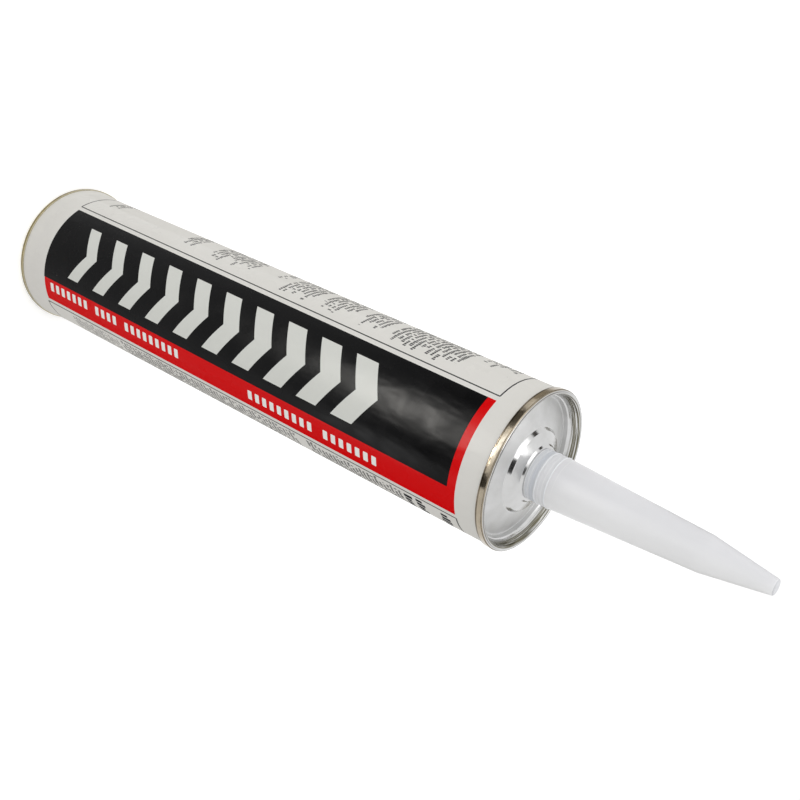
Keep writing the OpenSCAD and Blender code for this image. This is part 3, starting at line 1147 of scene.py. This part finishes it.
@dataclass
class WoundTube:
    """The fibreboard tube with its label and the rolled rim at the rear."""

    size: Cartridge
    lathe: Lathe

    def build(self) -> None:
        """Builds and dresses the tube, the label and the rim."""
        self.tube()
        self.label()
        self.rim()

    def tube(self) -> Piece:
        """Builds the wound tube: flared behind, crushed thinner inside the front seam.

        Returns:
            The dressed tube.
        """
        c = self.size
        heights = c.flare_heights()
        top_z = c.crown_z - 2 * c.end_t
        crush_z = c.crown_z - c.ledge_drop + c.end_t
        crush_r = c.label_r - c.crown_w + c.end_t / 2 + c.seat
        corner_z = c.foot_z + c.chamfer
        section = [(c.tube_r + c.flare - c.chamfer, c.foot_z), (c.tube_r + c.flare, corner_z)]
        section += [(c.tube_r + c.flare_at(z), z) for z in heights]
        section += [(c.tube_r, top_z), (crush_r, top_z), (c.bore_r, crush_z)]
        section += [(c.bore_r + c.flare_at(z), z) for z in reversed(heights)]
        section += [(c.bore_r + c.flare, corner_z), (c.bore_r + c.flare + c.chamfer, c.foot_z)]
        piece = self.lathe.turn("wound_tube", section, KraftFibreboard().build(), Turn.PLAIN)
        return dress(piece, Body.CARTRIDGE, "body_tube")

    def label(self) -> Piece:
        """Builds the printed label, with the tube's flare at its rear end.

        Returns:
            The dressed label.
        """
        c = self.size
        heights = c.flare_heights()
        low_z, high_z = c.foot_z + c.chamfer, c.crown_z - c.seam_h + 1.5 * c.end_t
        inner_r = c.tube_r + c.seat / 2
        section = [(c.label_r + c.flare, low_z)]
        section += [(c.label_r + c.flare_at(z), z) for z in heights]
        section += [(c.label_r, high_z), (inner_r, high_z)]
        section += [(inner_r + c.flare_at(z), z) for z in reversed(heights)]
        section.append((inner_r + c.flare, low_z))
        piece = self.lathe.turn("label", section, self.print_finish().build(), Turn.FINE)
        return dress(piece, Body.CARTRIDGE, "printed_label")

    def print_finish(self) -> PrintedPaper:
        """Lays out the label's print on the unrolled paper.

        Returns:
            The printed paper, whose fields of ink and blocks of print are in millimetres.
        """
        red, black, rule, white = "#d90206", "#0b0b0c", "#2c2d30", "#f2f2ee"
        shapes = [
            Ink(14.0, 205.5, 15.0, 24.4, red), Ink(202.4, 205.5, -14.1, 24.4, red),
            Ink(13.8, 202.6, -14.05, 15.25, black),
            Ink(13.0, 205.3, -76.0, -16.0, rule, corner=0.3, line=0.46),
            Ink(13.0, 205.6, 26.1, 75.0, rule, corner=0.3, line=0.46),
        ]
        pitch, half = 3.28, 1.7
        for low_z, blocks, middle in ((17.5, 7, 18.2), (43.8, 4, 18.4), (60.2, 9, 18.6),
                                      (122.0, 9, 19.7), (154.9, 7, 19.8)):
            shapes.append(Ink(low_z, low_z + blocks * pitch, middle - half, middle + half, white,
                              corner=0.3, pitch=pitch, gap=1.45))
        left = tuple(TextBlock(low_z, high_z, -75.0, high_s, 18.0, ragged, strength)
                     for low_z, high_z, high_s, ragged, strength in (
                         (20.0, 25.0, -21.5, 6.0, 0.85), (62.0, 68.7, -21.0, 3.0, 0.85),
                         (78.0, 97.8, -18.8, 6.0, 0.85), (107.0, 110.3, -23.0, 4.0, 0.85),
                         (114.0, 127.2, -18.3, 5.0, 0.9), (130.0, 143.2, -18.8, 7.0, 0.9),
                         (147.5, 157.4, -18.5, 6.0, 0.9), (160.0, 186.4, -17.8, 4.0, 0.95),
                         (190.0, 201.6, -26.0, 8.0, 0.9)))
        right = (TextBlock(27.0, 52.0, 27.3, 72.0, 1.0, 30.0, 0.6),
                 TextBlock(55.0, 141.8, 26.9, 72.0, 0.6, 26.0),
                 TextBlock(146.0, 184.0, 26.9, 72.0, 1.4, 26.0, 0.95))
        bold = (TextBlock(184.4, 193.6, 27.0, 62.0, 0.6, 20.0, 1.0),
                TextBlock(198.2, 202.8, 27.6, 62.0, 0.4, 20.0, 1.0))
        columns = (TextColumn(1.65, 0.86, left), TextColumn(1.55, 0.8, right),
                   TextColumn(4.61, 2.1, bold))
        return PrintedPaper(self.size.label_r, shapes=tuple(shapes), columns=columns)

    def rim(self) -> Piece:
        """Builds the rolled rim that clasps the rear edge.

        Returns:
            The dressed rim.
        """
        c = self.size
        outer_r = c.label_r + c.flare + c.seat + c.rim_t / 2
        inner_r = c.bore_r + c.flare - c.seat - c.rim_t / 2
        low_z, bend = c.rim_t / 2, c.rim_corner - c.rim_t / 2
        path = ((inner_r, c.rim_h), (inner_r, low_z), (outer_r, low_z), (outer_r, c.rim_h))
        # Gold can lacquer over tin: warm olive, glossy, a little uneven, paler in a band at its top
        # edge
        finish = SheetMetal("Gold lacquered tinplate", "#8f8562", "#716748", 0.24,
                            bands=(Band(c.rim_h - 0.28, c.rim_h + 0.1, "#ddd6be", 0.6),))
        section = Strip(path, (bend, bend), c.rim_t).loop()
        piece = self.lathe.turn("rear_rim_rolled", section, finish.build(), Turn.FINE)
        return dress(piece, Body.CARTRIDGE, "rear_rim")


@dataclass
class PressedEnd:
    """The metal front end: seam, crown, ledge, countersink, panel and the two steps."""

    size: Cartridge
    lathe: Lathe
    hole_r: float = 7.92
    boss_r: float = 8.545
    step_r: float = 13.35
    step_drop: float = 1.75
    sink_r: float = 22.355
    sink_w: float = 0.7
    sink_drop: float = 4.9
    ledge_r: float = 23.055
    ledge_w: float = 0.4
    ledge_lean: float = 0.15
    hook_h: float = 1.2
    shade_drop: float = 1.95

    def build(self) -> Piece:
        """Builds and dresses the end as one bent strip turned round the axis.

        Returns:
            The dressed end.
        """
        c, t = self.size, self.size.end_t
        hook_r = c.label_r + c.seat + t / 2
        band_r = hook_r + t + c.seat
        crown, low = c.crown_z - t / 2, c.crown_z - c.seam_h + t / 2
        boss = c.crown_z + c.boss_h - t / 2
        sink_z, ledge_z = c.crown_z - self.sink_drop + t / 2, c.crown_z - c.ledge_drop
        path = (
            (self.hole_r, boss), (self.boss_r, boss), (c.boss_foot_r, c.crown_z + c.boss_foot_h),
            (c.slope_r, c.crown_z - c.slope_drop), (self.step_r, c.crown_z - self.step_drop),
            (self.sink_r - self.sink_w, sink_z), (self.sink_r, sink_z),
            (self.ledge_r - self.ledge_w, ledge_z - self.ledge_lean), (self.ledge_r, ledge_z),
            (c.label_r - c.crown_w, crown), (band_r, crown), (band_r, low), (hook_r, low),
            (hook_r, c.crown_z - c.seam_h + self.hook_h),
        )
        hook_bend = (band_r - hook_r) / 2
        radii = (0.35,) * 4 + (0.2,) * 4 + (0.45, 0.45, hook_bend, hook_bend)
        # Bright tinplate: mirror-like where it was drawn over an edge, satin on the flat panel;
        # the seam band has painted shade at its foot and a painted dark reflection on the crown
        finish = SheetMetal("Bright pressed tinplate", "#d3d3d3", "#c9c9c8", 0.1, wave=0.12,
                            satin_rings=((9.5, 12.3, 0.2), (13.5, 22.3, 0.5)),
                            drawn_ring=(23.1, 24.6), tint_from=25.2, tint="#aba08e",
                            shade_below_z=c.crown_z - self.shade_drop, dark_reflection_ring=(24.52, 25.2))
        section = Strip(path, radii, t).loop()
        piece = self.lathe.turn("pressed_end", section, finish.build(), Turn.FINE)
        return dress(piece, Body.CARTRIDGE, "front_end")


@dataclass
class NozzleSet:
    """The moulded nozzle with its collar rings, and the foil bonded across its bore."""

    size: Cartridge
    lathe: Lathe
    collar_r: float = 7.9
    neck_r: float = 5.525
    tip_r: float = 2.45
    neck_h: float = 54.3
    tip_h: float = 74.5
    flange_r: float = 11.6
    flange_t: float = 1.0
    ring_h: float = 5.0
    collar_h: float = 8.4
    ring_out: float = 0.14
    ring_bead: float = 0.24
    groove: float = 0.08
    bore_wall: float = 1.5
    neck_wall: float = 1.15
    tip_wall: float = 3.0
    tip_round: float = 0.8
    foil_reach: float = 3.0
    foil_t: float = 0.1

    @property
    def ring_heights(self) -> Point:
        """Heights of the collar's two raised rings."""
        return self.size.crown_z + self.ring_h, self.size.crown_z + self.collar_h

    def slope_under(self, r: float) -> float:
        """Gives the height of the underside of the slope between the end's two steps.

        Args:
            r: Distance from the axis.

        Returns:
            The height, with the seat's gap below the sheet.
        """
        c = self.size
        low_z = c.crown_z - c.slope_drop
        angle = math.atan2(c.crown_z + c.boss_foot_h - low_z, c.slope_r - c.boss_foot_r)
        sheet = (c.end_t / 2 + c.seat) / math.cos(angle)
        return low_z + (c.slope_r - r) * math.tan(angle) - sheet

    def build(self) -> None:
        """Builds and dresses the nozzle, its rings and the foil."""
        # Natural polyethylene: milky grey-white and waxy, with painted light on the +X side
        # and bands of painted shade and painted highlight on the collar and the tip
        finish = Polyethylene("Moulded natural polyethylene", "#ffffff", "#e7e7ea", 0.34, 0.0015,
                              0.25, painted_light_share=0.8, bands=self.bands())
        self.nozzle(finish.build())
        # The collar rings are painted whiter than the nozzle, as a painted highlight along them
        thick = Polyethylene("Moulded natural polyethylene, painted highlight", "#fafcff", "#f6f8fc", 0.3,
                             0.001, 0.1)
        self.collar_rings(thick.build())
        self.foil()

    def bands(self) -> tuple[Band, ...]:
        """Gives bands of painted shade and painted highlight on the collar and the tip.

        Returns:
            Bands for the nozzle's finish.
        """
        crown, ring, collar = self.size.crown_z, self.ring_h, self.collar_h
        # Painted shade on the collar below the rings and on the tip's end, paler bands at the rings
        painted_tones = (
            (self.size.boss_h, ring, "#e4e7ec", 0.8), (3.4, 4.6, "#d3d8e0", 0.5),
            (ring, collar, "#f1f2f5", 0.8), (ring - 0.24, ring + 0.24, "#f8fafe", 1.0),
            (collar - 0.22, collar + 0.22, "#f8fafe", 1.0),
            (self.tip_h - 0.4, self.tip_h + 1.0, "#cfd0d3", 1.0),
        )
        # Painted highlights: thin white lines round the collar
        lines = ((1.75, 0.8), (2.9, 0.35), (6.3, 0.35), (7.3, 0.3), (10.4, 0.3))
        painted_tones += tuple((at - 0.1, at + 0.1, "#ffffff", share) for at, share in lines)
        return tuple(Band(crown + low, crown + high, code, share)
                     for low, high, code, share in painted_tones)

    def nozzle(self, finish: Material) -> Piece:
        """Builds the hollow nozzle in one section, from the closed end of its bore.

        Args:
            finish: The nozzle's material.

        Returns:
            The dressed nozzle.
        """
        c = self.size
        neck_z, tip_z = c.crown_z + self.neck_h, c.crown_z + self.tip_h
        ring_z, collar_z = self.ring_heights
        flange_edge = self.slope_under(self.flange_r)
        flange_z = flange_edge - self.flange_t
        neck_in = self.slope_under(c.boss_foot_r) - c.end_t / 2
        bore_end = tip_z - self.tip_wall
        taper = (self.tip_r - self.neck_r) / (tip_z - neck_z)
        bore_r = self.collar_r - self.bore_wall
        end_r = self.neck_r + taper * (bore_end - neck_z) - self.neck_wall
        section = [(0.0, bore_end), (end_r, bore_end), (self.neck_r - self.neck_wall, neck_z),
                   (bore_r, collar_z), (bore_r, flange_z), (self.flange_r, flange_z),
                   (self.flange_r, flange_edge), (c.boss_foot_r - c.end_t, neck_in),
                   (self.collar_r, neck_in)]
        # Two fine grooves below each raised ring
        for low, high in ((c.crown_z + c.boss_h, ring_z), (ring_z, collar_z)):
            for share in (0.34, 0.68):
                z = low + (high - low) * share
                section += [(self.collar_r, z - self.groove), (self.collar_r - self.groove, z),
                            (self.collar_r, z + self.groove)]
            for a in range(-90, 91, 18):
                section.append((self.collar_r + self.ring_out * 0.5 * math.cos(math.radians(a)),
                                high + 0.2 * math.sin(math.radians(a))))
        bend = 1.2
        section += [(self.neck_r + 0.05, neck_z - bend), (self.neck_r, neck_z),
                    (self.neck_r - 0.17, neck_z + bend)]
        section += [(self.tip_r - self.tip_round * (1 - math.cos(math.radians(a))),
                     tip_z - self.tip_round * (1 - math.sin(math.radians(a))))
                    for a in range(0, 91, 10)]
        section.append((0.0, tip_z))
        piece = self.lathe.turn("moulded_nozzle", section, finish, Turn.PLAIN)
        return dress(piece, Body.CARTRIDGE, "nozzle")

    def collar_rings(self, finish: Material) -> Piece:
        """Builds the two raised rings of the collar.

        Args:
            finish: The rings' material.

        Returns:
            The dressed rings, in one piece.
        """
        low_z, high_z = self.ring_heights
        start = bpy.data.meshes.new("collar_rings_start")
        piece = made_by_nodes("collar_rings", start, stacked_rings_tree(), {
            "Count": 2, "First Height": low_z * MM, "Spacing": (high_z - low_z) * MM,
            "Radius": (self.collar_r + self.ring_out - self.ring_bead) * MM,
            "Bead": self.ring_bead * MM, "Segments": Turn.PLAIN.value, "Material": finish})
        return dress(piece, Body.CARTRIDGE, "nozzle")

    def foil(self) -> Piece:
        """Builds the foil membrane, with its bonded edge pressed down.

        Returns:
            The dressed foil.
        """
        top_z = self.slope_under(self.flange_r) - self.flange_t - self.size.seat
        low_z, inner_z = top_z - self.foil_t, top_z - 0.03
        bore_r = self.collar_r - self.bore_wall
        edge_r = bore_r + self.foil_reach
        section = [(0.0, low_z), (edge_r, low_z), (edge_r, top_z - 0.02), (edge_r - 0.1, top_z),
                   (bore_r + 0.1, top_z), (bore_r - 0.2, inner_z), (0.0, inner_z)]
        # Soft annealed foil: bright, with the waves of the bond under it
        finish = SheetMetal("Soft aluminium foil", "#d3d5d8", "#b9bcc0", 0.2, wave=0.6,
                            satin_rings=((0.0, 6.0, 0.3),))
        piece = self.lathe.turn("foil_seal", section, finish.build(), Turn.PLAIN)
        return dress(piece, Body.CARTRIDGE, "inner_seal")


@dataclass
class Filling:
    """The paste between the plunger and the front end, which the plunger pushes out."""

    size: Cartridge
    lathe: Lathe
    travel: float = 178.0
    low_z: float = 32.3
    high_z: float = 210.68
    rounding: float = 0.4

    def build(self) -> Piece:
        """Builds the paste and gives it a mesh of its own.

        Returns:
            The dressed paste.
        """
        r, edge = self.size.bore_r - self.size.seat, self.rounding
        low, high = self.low_z, self.high_z
        cut = 0.3 * edge
        section = [(0.0, low), (r - edge, low), (r - cut, low + cut), (r, low + edge),
                   (r, high - edge), (r - cut, high - cut), (r - edge, high), (0.0, high)]
        piece = self.lathe.turn("paste_filling", section, SealantPaste().build(), Turn.PLAIN)
        piece = dress(piece, Body.CARTRIDGE, "sealant")
        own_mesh(piece)
        return piece


@dataclass
class PlungerCup:
    """The moulded cup that the gun pushes forward, with its lips and the ribs behind its face."""

    size: Cartridge
    lathe: Lathe
    gap: float = 0.08
    recess: float = 18.0
    length: float = 14.0
    wall: float = 1.2
    face_t: float = 1.6
    lip_out: float = 0.25
    lip_h: float = 2.0
    lead_in: float = 0.6
    edge: float = 0.3
    ribs: int = 8
    rib_h: float = 2.0
    rib_t: float = 1.0
    hub_r: float = 4.5

    def build(self) -> None:
        """Builds and dresses the cup and its ribs."""
        # High-density polyethylene: a little denser and whiter than the nozzle
        finish = Polyethylene("Moulded white polyethylene", "#e9e7df", "#dcd9cf", 0.42, 0.002,
                              0.35).build()
        out_r = self.size.bore_r - self.gap
        skirt_r = out_r - self.lip_out
        bore = skirt_r - self.wall
        low_z, face_z = self.recess, self.recess + self.length
        floor_z = face_z - self.face_t
        rib_z = floor_z - self.rib_h
        section = [
            (0.0, rib_z + 0.5), (1.2, rib_z + 0.5), (1.5, rib_z), (self.hub_r - 0.25, rib_z),
            (self.hub_r, rib_z + 0.25), (self.hub_r, floor_z - 0.2), (self.hub_r + 0.2, floor_z),
            (bore - self.edge, floor_z), (bore, floor_z - self.edge),
            (bore, low_z + self.lead_in), (bore + self.lead_in, low_z),
            (out_r - self.edge / 2, low_z), (out_r, low_z + self.edge / 2),
            (out_r, low_z + self.lip_h), (skirt_r, low_z + self.lip_h + self.lip_out),
            (skirt_r, face_z - self.lip_h - self.lip_out), (out_r, face_z - self.lip_h),
            (out_r, face_z - self.lip_out), (out_r - self.lip_out, face_z), (0.0, face_z)]
        cup = self.lathe.turn("plunger_cup", section, finish, Turn.PLAIN)
        dress(cup, Body.PLUNGER, "plunger")
        # The ribs run a little way into the wall and the face, so that they join them
        start = bpy.data.meshes.new("plunger_ribs_start")
        ribs = made_by_nodes("plunger_ribs", start, spoke_ribs_tree(), {
            "Count": self.ribs, "Reach": (bore + 0.1) * MM, "Thickness": self.rib_t * MM,
            "Depth": (self.rib_h + 0.2) * MM, "Top": (floor_z + 0.2) * MM, "Material": finish})
        dress(ribs, Body.PLUNGER, "plunger")


# Studio


@dataclass(frozen=True)
class SoftBox:
    """A square area lamp that lights without showing in shine, in metres and watts."""

    name: str
    at: Place
    aim: Place
    side: float
    watts: float


@dataclass(frozen=True)
class Card:
    """A card that only shows in shine, full at its core and faded out at its edge, in metres.

    A strength makes it a screen that glows as bright; without one it is matte paint.
    """

    name: str
    at: Place
    width: float
    height: float
    colour: str
    strength: float = 0.0
    core: float = 0.6


@dataclass
class Studio:
    """A plain pale floor, soft light and the camera at the photograph's angle."""

    ambient: float = 0.77
    floor_half: float = 6.0
    floor_glow: float = 0.43
    wall_turns: int = 64
    wall_r: float = 0.8
    wall_h: float = 0.25
    eye: Place = (0.0, -0.298165, 0.349871)
    right: Place = (-0.43185, 0.47585, 0.7662)
    down: Place = (0.90192, 0.2335, 0.36334)
    ahead: Place = (-0.00602, 0.84797, -0.53002)
    focal_px: float = 1117.5
    frame_px: float = 800.0

    def build(self) -> None:
        """Builds the floor, the world, the lamps, the cards and the camera."""
        self.floor()
        self.world()
        for lamp in (
            SoftBox("lamp_over", (-0.58, -0.56, 0.95), (0.0, 0.0, 0.2), 0.7, 2.6),
            SoftBox("lamp_back", (-0.23, 0.49, 1.27), (0.0, 0.0, 0.2), 0.7, 3.0),
        ):
            self.lamp(lamp)
        for card in (
            Card("glow_wide", (-0.348, -0.348, 0.725), 0.95, 0.42, "#ffffff", 2.4, 0.5),
            Card("glow_back", (-0.11, 0.46, 1.32), 0.66, 0.38, "#ffffff", 4.3, 0.1),
            Card("glow_strip", (-0.018, -0.268, 0.034), 0.27, 0.066, "#fffcf6", 56.0, 0.35),
            Card("glow_band", (-0.042, -0.272, 0.096), 0.25, 0.052, "#f2f7ff", 3.1, 0.5),
            Card("glow_low", (0.2, -0.13, 0.035), 0.17, 0.11, "#ffffff", 5.0, 0.2),
            Card("glow_side", (-0.15, -0.262, 0.13), 0.1, 0.13, "#fffcf6", 2.2, 0.2),
            Card("card_left", (-0.243, -0.176, 0.07), 0.24, 0.2, "#9a968f", core=0.4),
            Card("card_side", (-0.262, 0.08, 0.08), 0.26, 0.16, "#fff6e6", 0.5, 0.4),
            Card("card_right", (0.185, -0.236, 0.07), 0.16, 0.2, "#686561", core=0.4),
            Card("card_high", (0.075, -0.28, 0.56), 0.32, 0.18, "#101012", core=0.6),
            Card("card_far", (-0.44, 0.09, 0.445), 0.25, 0.17, "#4a423a", core=0.4),
        ):
            self.card(card)
        self.horizon()
        self.camera()

    def floor(self) -> None:
        """Builds the pale floor, which the camera sees as white but for the object's shadow."""
        mesh = bpy.data.meshes.new("floor")
        edge = self.floor_half
        corners = [(-edge, -edge, 0), (edge, -edge, 0), (edge, edge, 0), (-edge, edge, 0)]
        mesh.from_pydata(corners, [], [(0, 1, 2, 3)])
        plate = put_in_scene("floor", mesh)
        material, tree = new_material("Pale studio floor")
        path = add(tree, "ShaderNodeLightPath")
        seen = self.seen(tree, path)
        grain = add(tree, "ShaderNodeTexNoise", {
            "Vector": add(tree, "ShaderNodeTexCoord").outputs["Object"], "Scale": 40.0,
            "Detail": 2.0})
        paint = add(tree, "ShaderNodeMix",
                    {"Factor": grain, "A": linear("#e2e2e2"), "B": linear("#e5e5e5")},
                    data_type="RGBA").outputs[2]
        matte = add(tree, "ShaderNodeBsdfDiffuse", {"Color": paint})
        glow = add(tree, "ShaderNodeEmission", {
            "Color": (1.0, 1.0, 1.0, 1.0), "Strength": self.floor_glow})
        lit = add(tree, "ShaderNodeAddShader", {0: matte, 1: glow})
        both = add(tree, "ShaderNodeMixShader", {0: seen, 1: matte, 2: lit})
        add(tree, "ShaderNodeOutputMaterial", {"Surface": both})
        mesh.materials.append(material)

    @staticmethod
    def seen(tree: Tree, path: Node) -> Node:
        """Tells the rays that see the white ground: camera, glossy and transmission rays.

        Args:
            tree: The tree of the floor or the world.
            path: Its light path.

        Returns:
            One for those rays and zero for all others.
        """
        total = add(tree, "ShaderNodeMath", {
            0: path.outputs["Is Camera Ray"], 1: path.outputs["Is Glossy Ray"]}, operation="ADD")
        return add(tree, "ShaderNodeMath", {0: total, 1: path.outputs["Is Transmission Ray"]},
                   operation="ADD", use_clamp=True)

    def world(self) -> None:
        """Builds the white ground behind the floor and the plain ambient light."""
        world = bpy.data.worlds.new("studio")
        bpy.context.scene.world = world
        world.use_nodes = True
        tree = world.node_tree
        tree.nodes.clear()
        white = add(tree, "ShaderNodeBackground", {"Color": (1.0, 1.0, 1.0, 1.0), "Strength": 1.0})
        soft = add(tree, "ShaderNodeBackground",
                   {"Color": (1.0, 1.0, 1.0, 1.0), "Strength": self.ambient})
        both = add(tree, "ShaderNodeMixShader", {
            0: self.seen(tree, add(tree, "ShaderNodeLightPath")), 1: soft, 2: white})
        add(tree, "ShaderNodeOutputWorld", {"Surface": both})

    @staticmethod
    def aimed(at: Place, aim: Place) -> Matrix:
        """Gives the matrix of something that hangs in the studio and faces a place."""
        away = Vector(at) - Vector(aim)
        return Matrix.Translation(at) @ away.to_track_quat("Z", "Y").to_matrix().to_4x4()

    def lamp(self, box: SoftBox) -> None:
        """Hangs one soft box and aims it.

        Args:
            box: Its place, size and power.
        """
        light = bpy.data.lights.new(box.name, "AREA")
        light.size = box.side
        light.energy = box.watts
        holder = put_in_scene(box.name, light)
        holder.matrix_world = self.aimed(box.at, box.aim)
        holder.visible_camera = holder.visible_glossy = False

    def card(self, card: Card) -> None:
        """Hangs one card, which faces the front end.

        Args:
            card: Its place, size and colour.
        """
        x, y = card.width / 2, card.height / 2
        turn = self.aimed(card.at, (0.0, 0.0, min(card.at[2], 0.2)))
        corners = [turn @ Vector(v) for v in ((-x, -y, 0), (x, -y, 0), (x, y, 0), (-x, y, 0))]
        material, tree, face = self.paint(card.name, card.colour)
        if card.strength:
            face = add(tree, "ShaderNodeEmission",
                       {"Color": linear(card.colour), "Strength": card.strength})
        place = add(tree, "ShaderNodeTexCoord").outputs["UV"]
        place = add(tree, "ShaderNodeVectorMath",
                    {0: place, 1: (2.0, 2.0, 0.0), 2: (-1.0, -1.0, 0.0)},
                    operation="MULTIPLY_ADD")
        reach = add(tree, "ShaderNodeVectorMath", {0: place}, operation="LENGTH").outputs["Value"]
        fade = add(tree, "ShaderNodeMapRange", {
            "Value": reach, "From Min": card.core, "From Max": 1.0},
                   interpolation_type="SMOOTHSTEP")
        both = add(tree, "ShaderNodeMixShader",
                   {0: fade, 1: face, 2: add(tree, "ShaderNodeBsdfTransparent")})
        add(tree, "ShaderNodeOutputMaterial", {"Surface": both})
        plate = self.reflected(card.name, corners, [(0, 1, 2, 3)], material)
        layer = plate.data.uv_layers.new(name="UVMap")
        for loop, uv in zip(layer.data, ((0, 0), (1, 0), (1, 1), (0, 1))):
            loop.uv = uv

    def horizon(self) -> None:
        """Stands a grey wall round the set, so low that only bends in bright metal mirror it."""
        turns = self.wall_turns
        angles = [math.tau * i / turns for i in range(turns)]
        ring = [(self.wall_r * math.cos(a), self.wall_r * math.sin(a)) for a in angles]
        corners = [Vector((x, y, z)) for z in (0.0, self.wall_h) for x, y in ring]
        faces = [(i, i + turns, (i + 1) % turns + turns, (i + 1) % turns) for i in range(turns)]
        material, tree, face = self.paint("horizon", "#a09a8e")
        add(tree, "ShaderNodeOutputMaterial", {"Surface": face})
        self.reflected("horizon", corners, faces, material)

    @staticmethod
    def paint(name: str, code: str) -> tuple[Material, Tree, Node]:
        """Starts a matte, lightly mottled paint.

        Args:
            name: What is painted.
            code: Its colour, which the mottling darkens.

        Returns:
            The material, its tree and the shader of the paint.
        """
        material, tree = new_material("Matte paint, " + name)
        weave = add(tree, "ShaderNodeTexNoise", {
            "Vector": add(tree, "ShaderNodeTexCoord").outputs["Object"], "Scale": 60.0})
        paint = add(tree, "ShaderNodeMix",
                    {"Factor": weave, "A": linear(code), "B": linear("#1c1c1c")},
                    data_type="RGBA").outputs[2]
        return material, tree, add(tree, "ShaderNodeBsdfDiffuse", {"Color": paint})

    @staticmethod
    def reflected(name: str, corners: list[Vector], faces: list[tuple[int, ...]],
                  material: Material) -> Piece:
        """Makes a piece of the studio that shows in shine alone.

        Args:
            name: Name of the piece.
            corners: Its corners.
            faces: Corners of each face.
            material: What it is painted with.

        Returns:
            The staged piece.
        """
        mesh = bpy.data.meshes.new(name)
        mesh.from_pydata(corners, [], faces)
        mesh.materials.append(material)
        plate = put_in_scene(name, mesh)
        plate.visible_camera = plate.visible_diffuse = False
        plate.visible_shadow = plate.visible_transmission = False
        return plate

    def camera(self) -> None:
        """Sets the camera that was fitted to the photograph's outlines."""
        data = bpy.data.cameras.new("camera")
        data.sensor_fit = "HORIZONTAL"
        data.sensor_width = 36.0
        data.lens = self.focal_px / self.frame_px * data.sensor_width
        data.clip_start = 0.01
        holder = put_in_scene("camera", data)
        rows = (self.right, tuple(-v for v in self.down), tuple(-v for v in self.ahead))
        holder.matrix_world = Matrix.Translation(self.eye) @ Matrix(rows).transposed().to_4x4()
        bpy.context.scene.camera = holder


def main() -> None:
    """Builds the cartridge and the studio."""
    logging.basicConfig(level=logging.INFO, format="%(name)s: %(message)s")
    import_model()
    size, lathe = Cartridge(), Lathe()
    WoundTube(size, lathe).build()
    PressedEnd(size, lathe).build()
    NozzleSet(size, lathe).build()
    Filling(size, lathe).build()
    PlungerCup(size, lathe).build()
    Studio().build()
    view = bpy.context.scene.view_settings
    view.view_transform = "Standard"


if __name__ == "__main__":
    main()
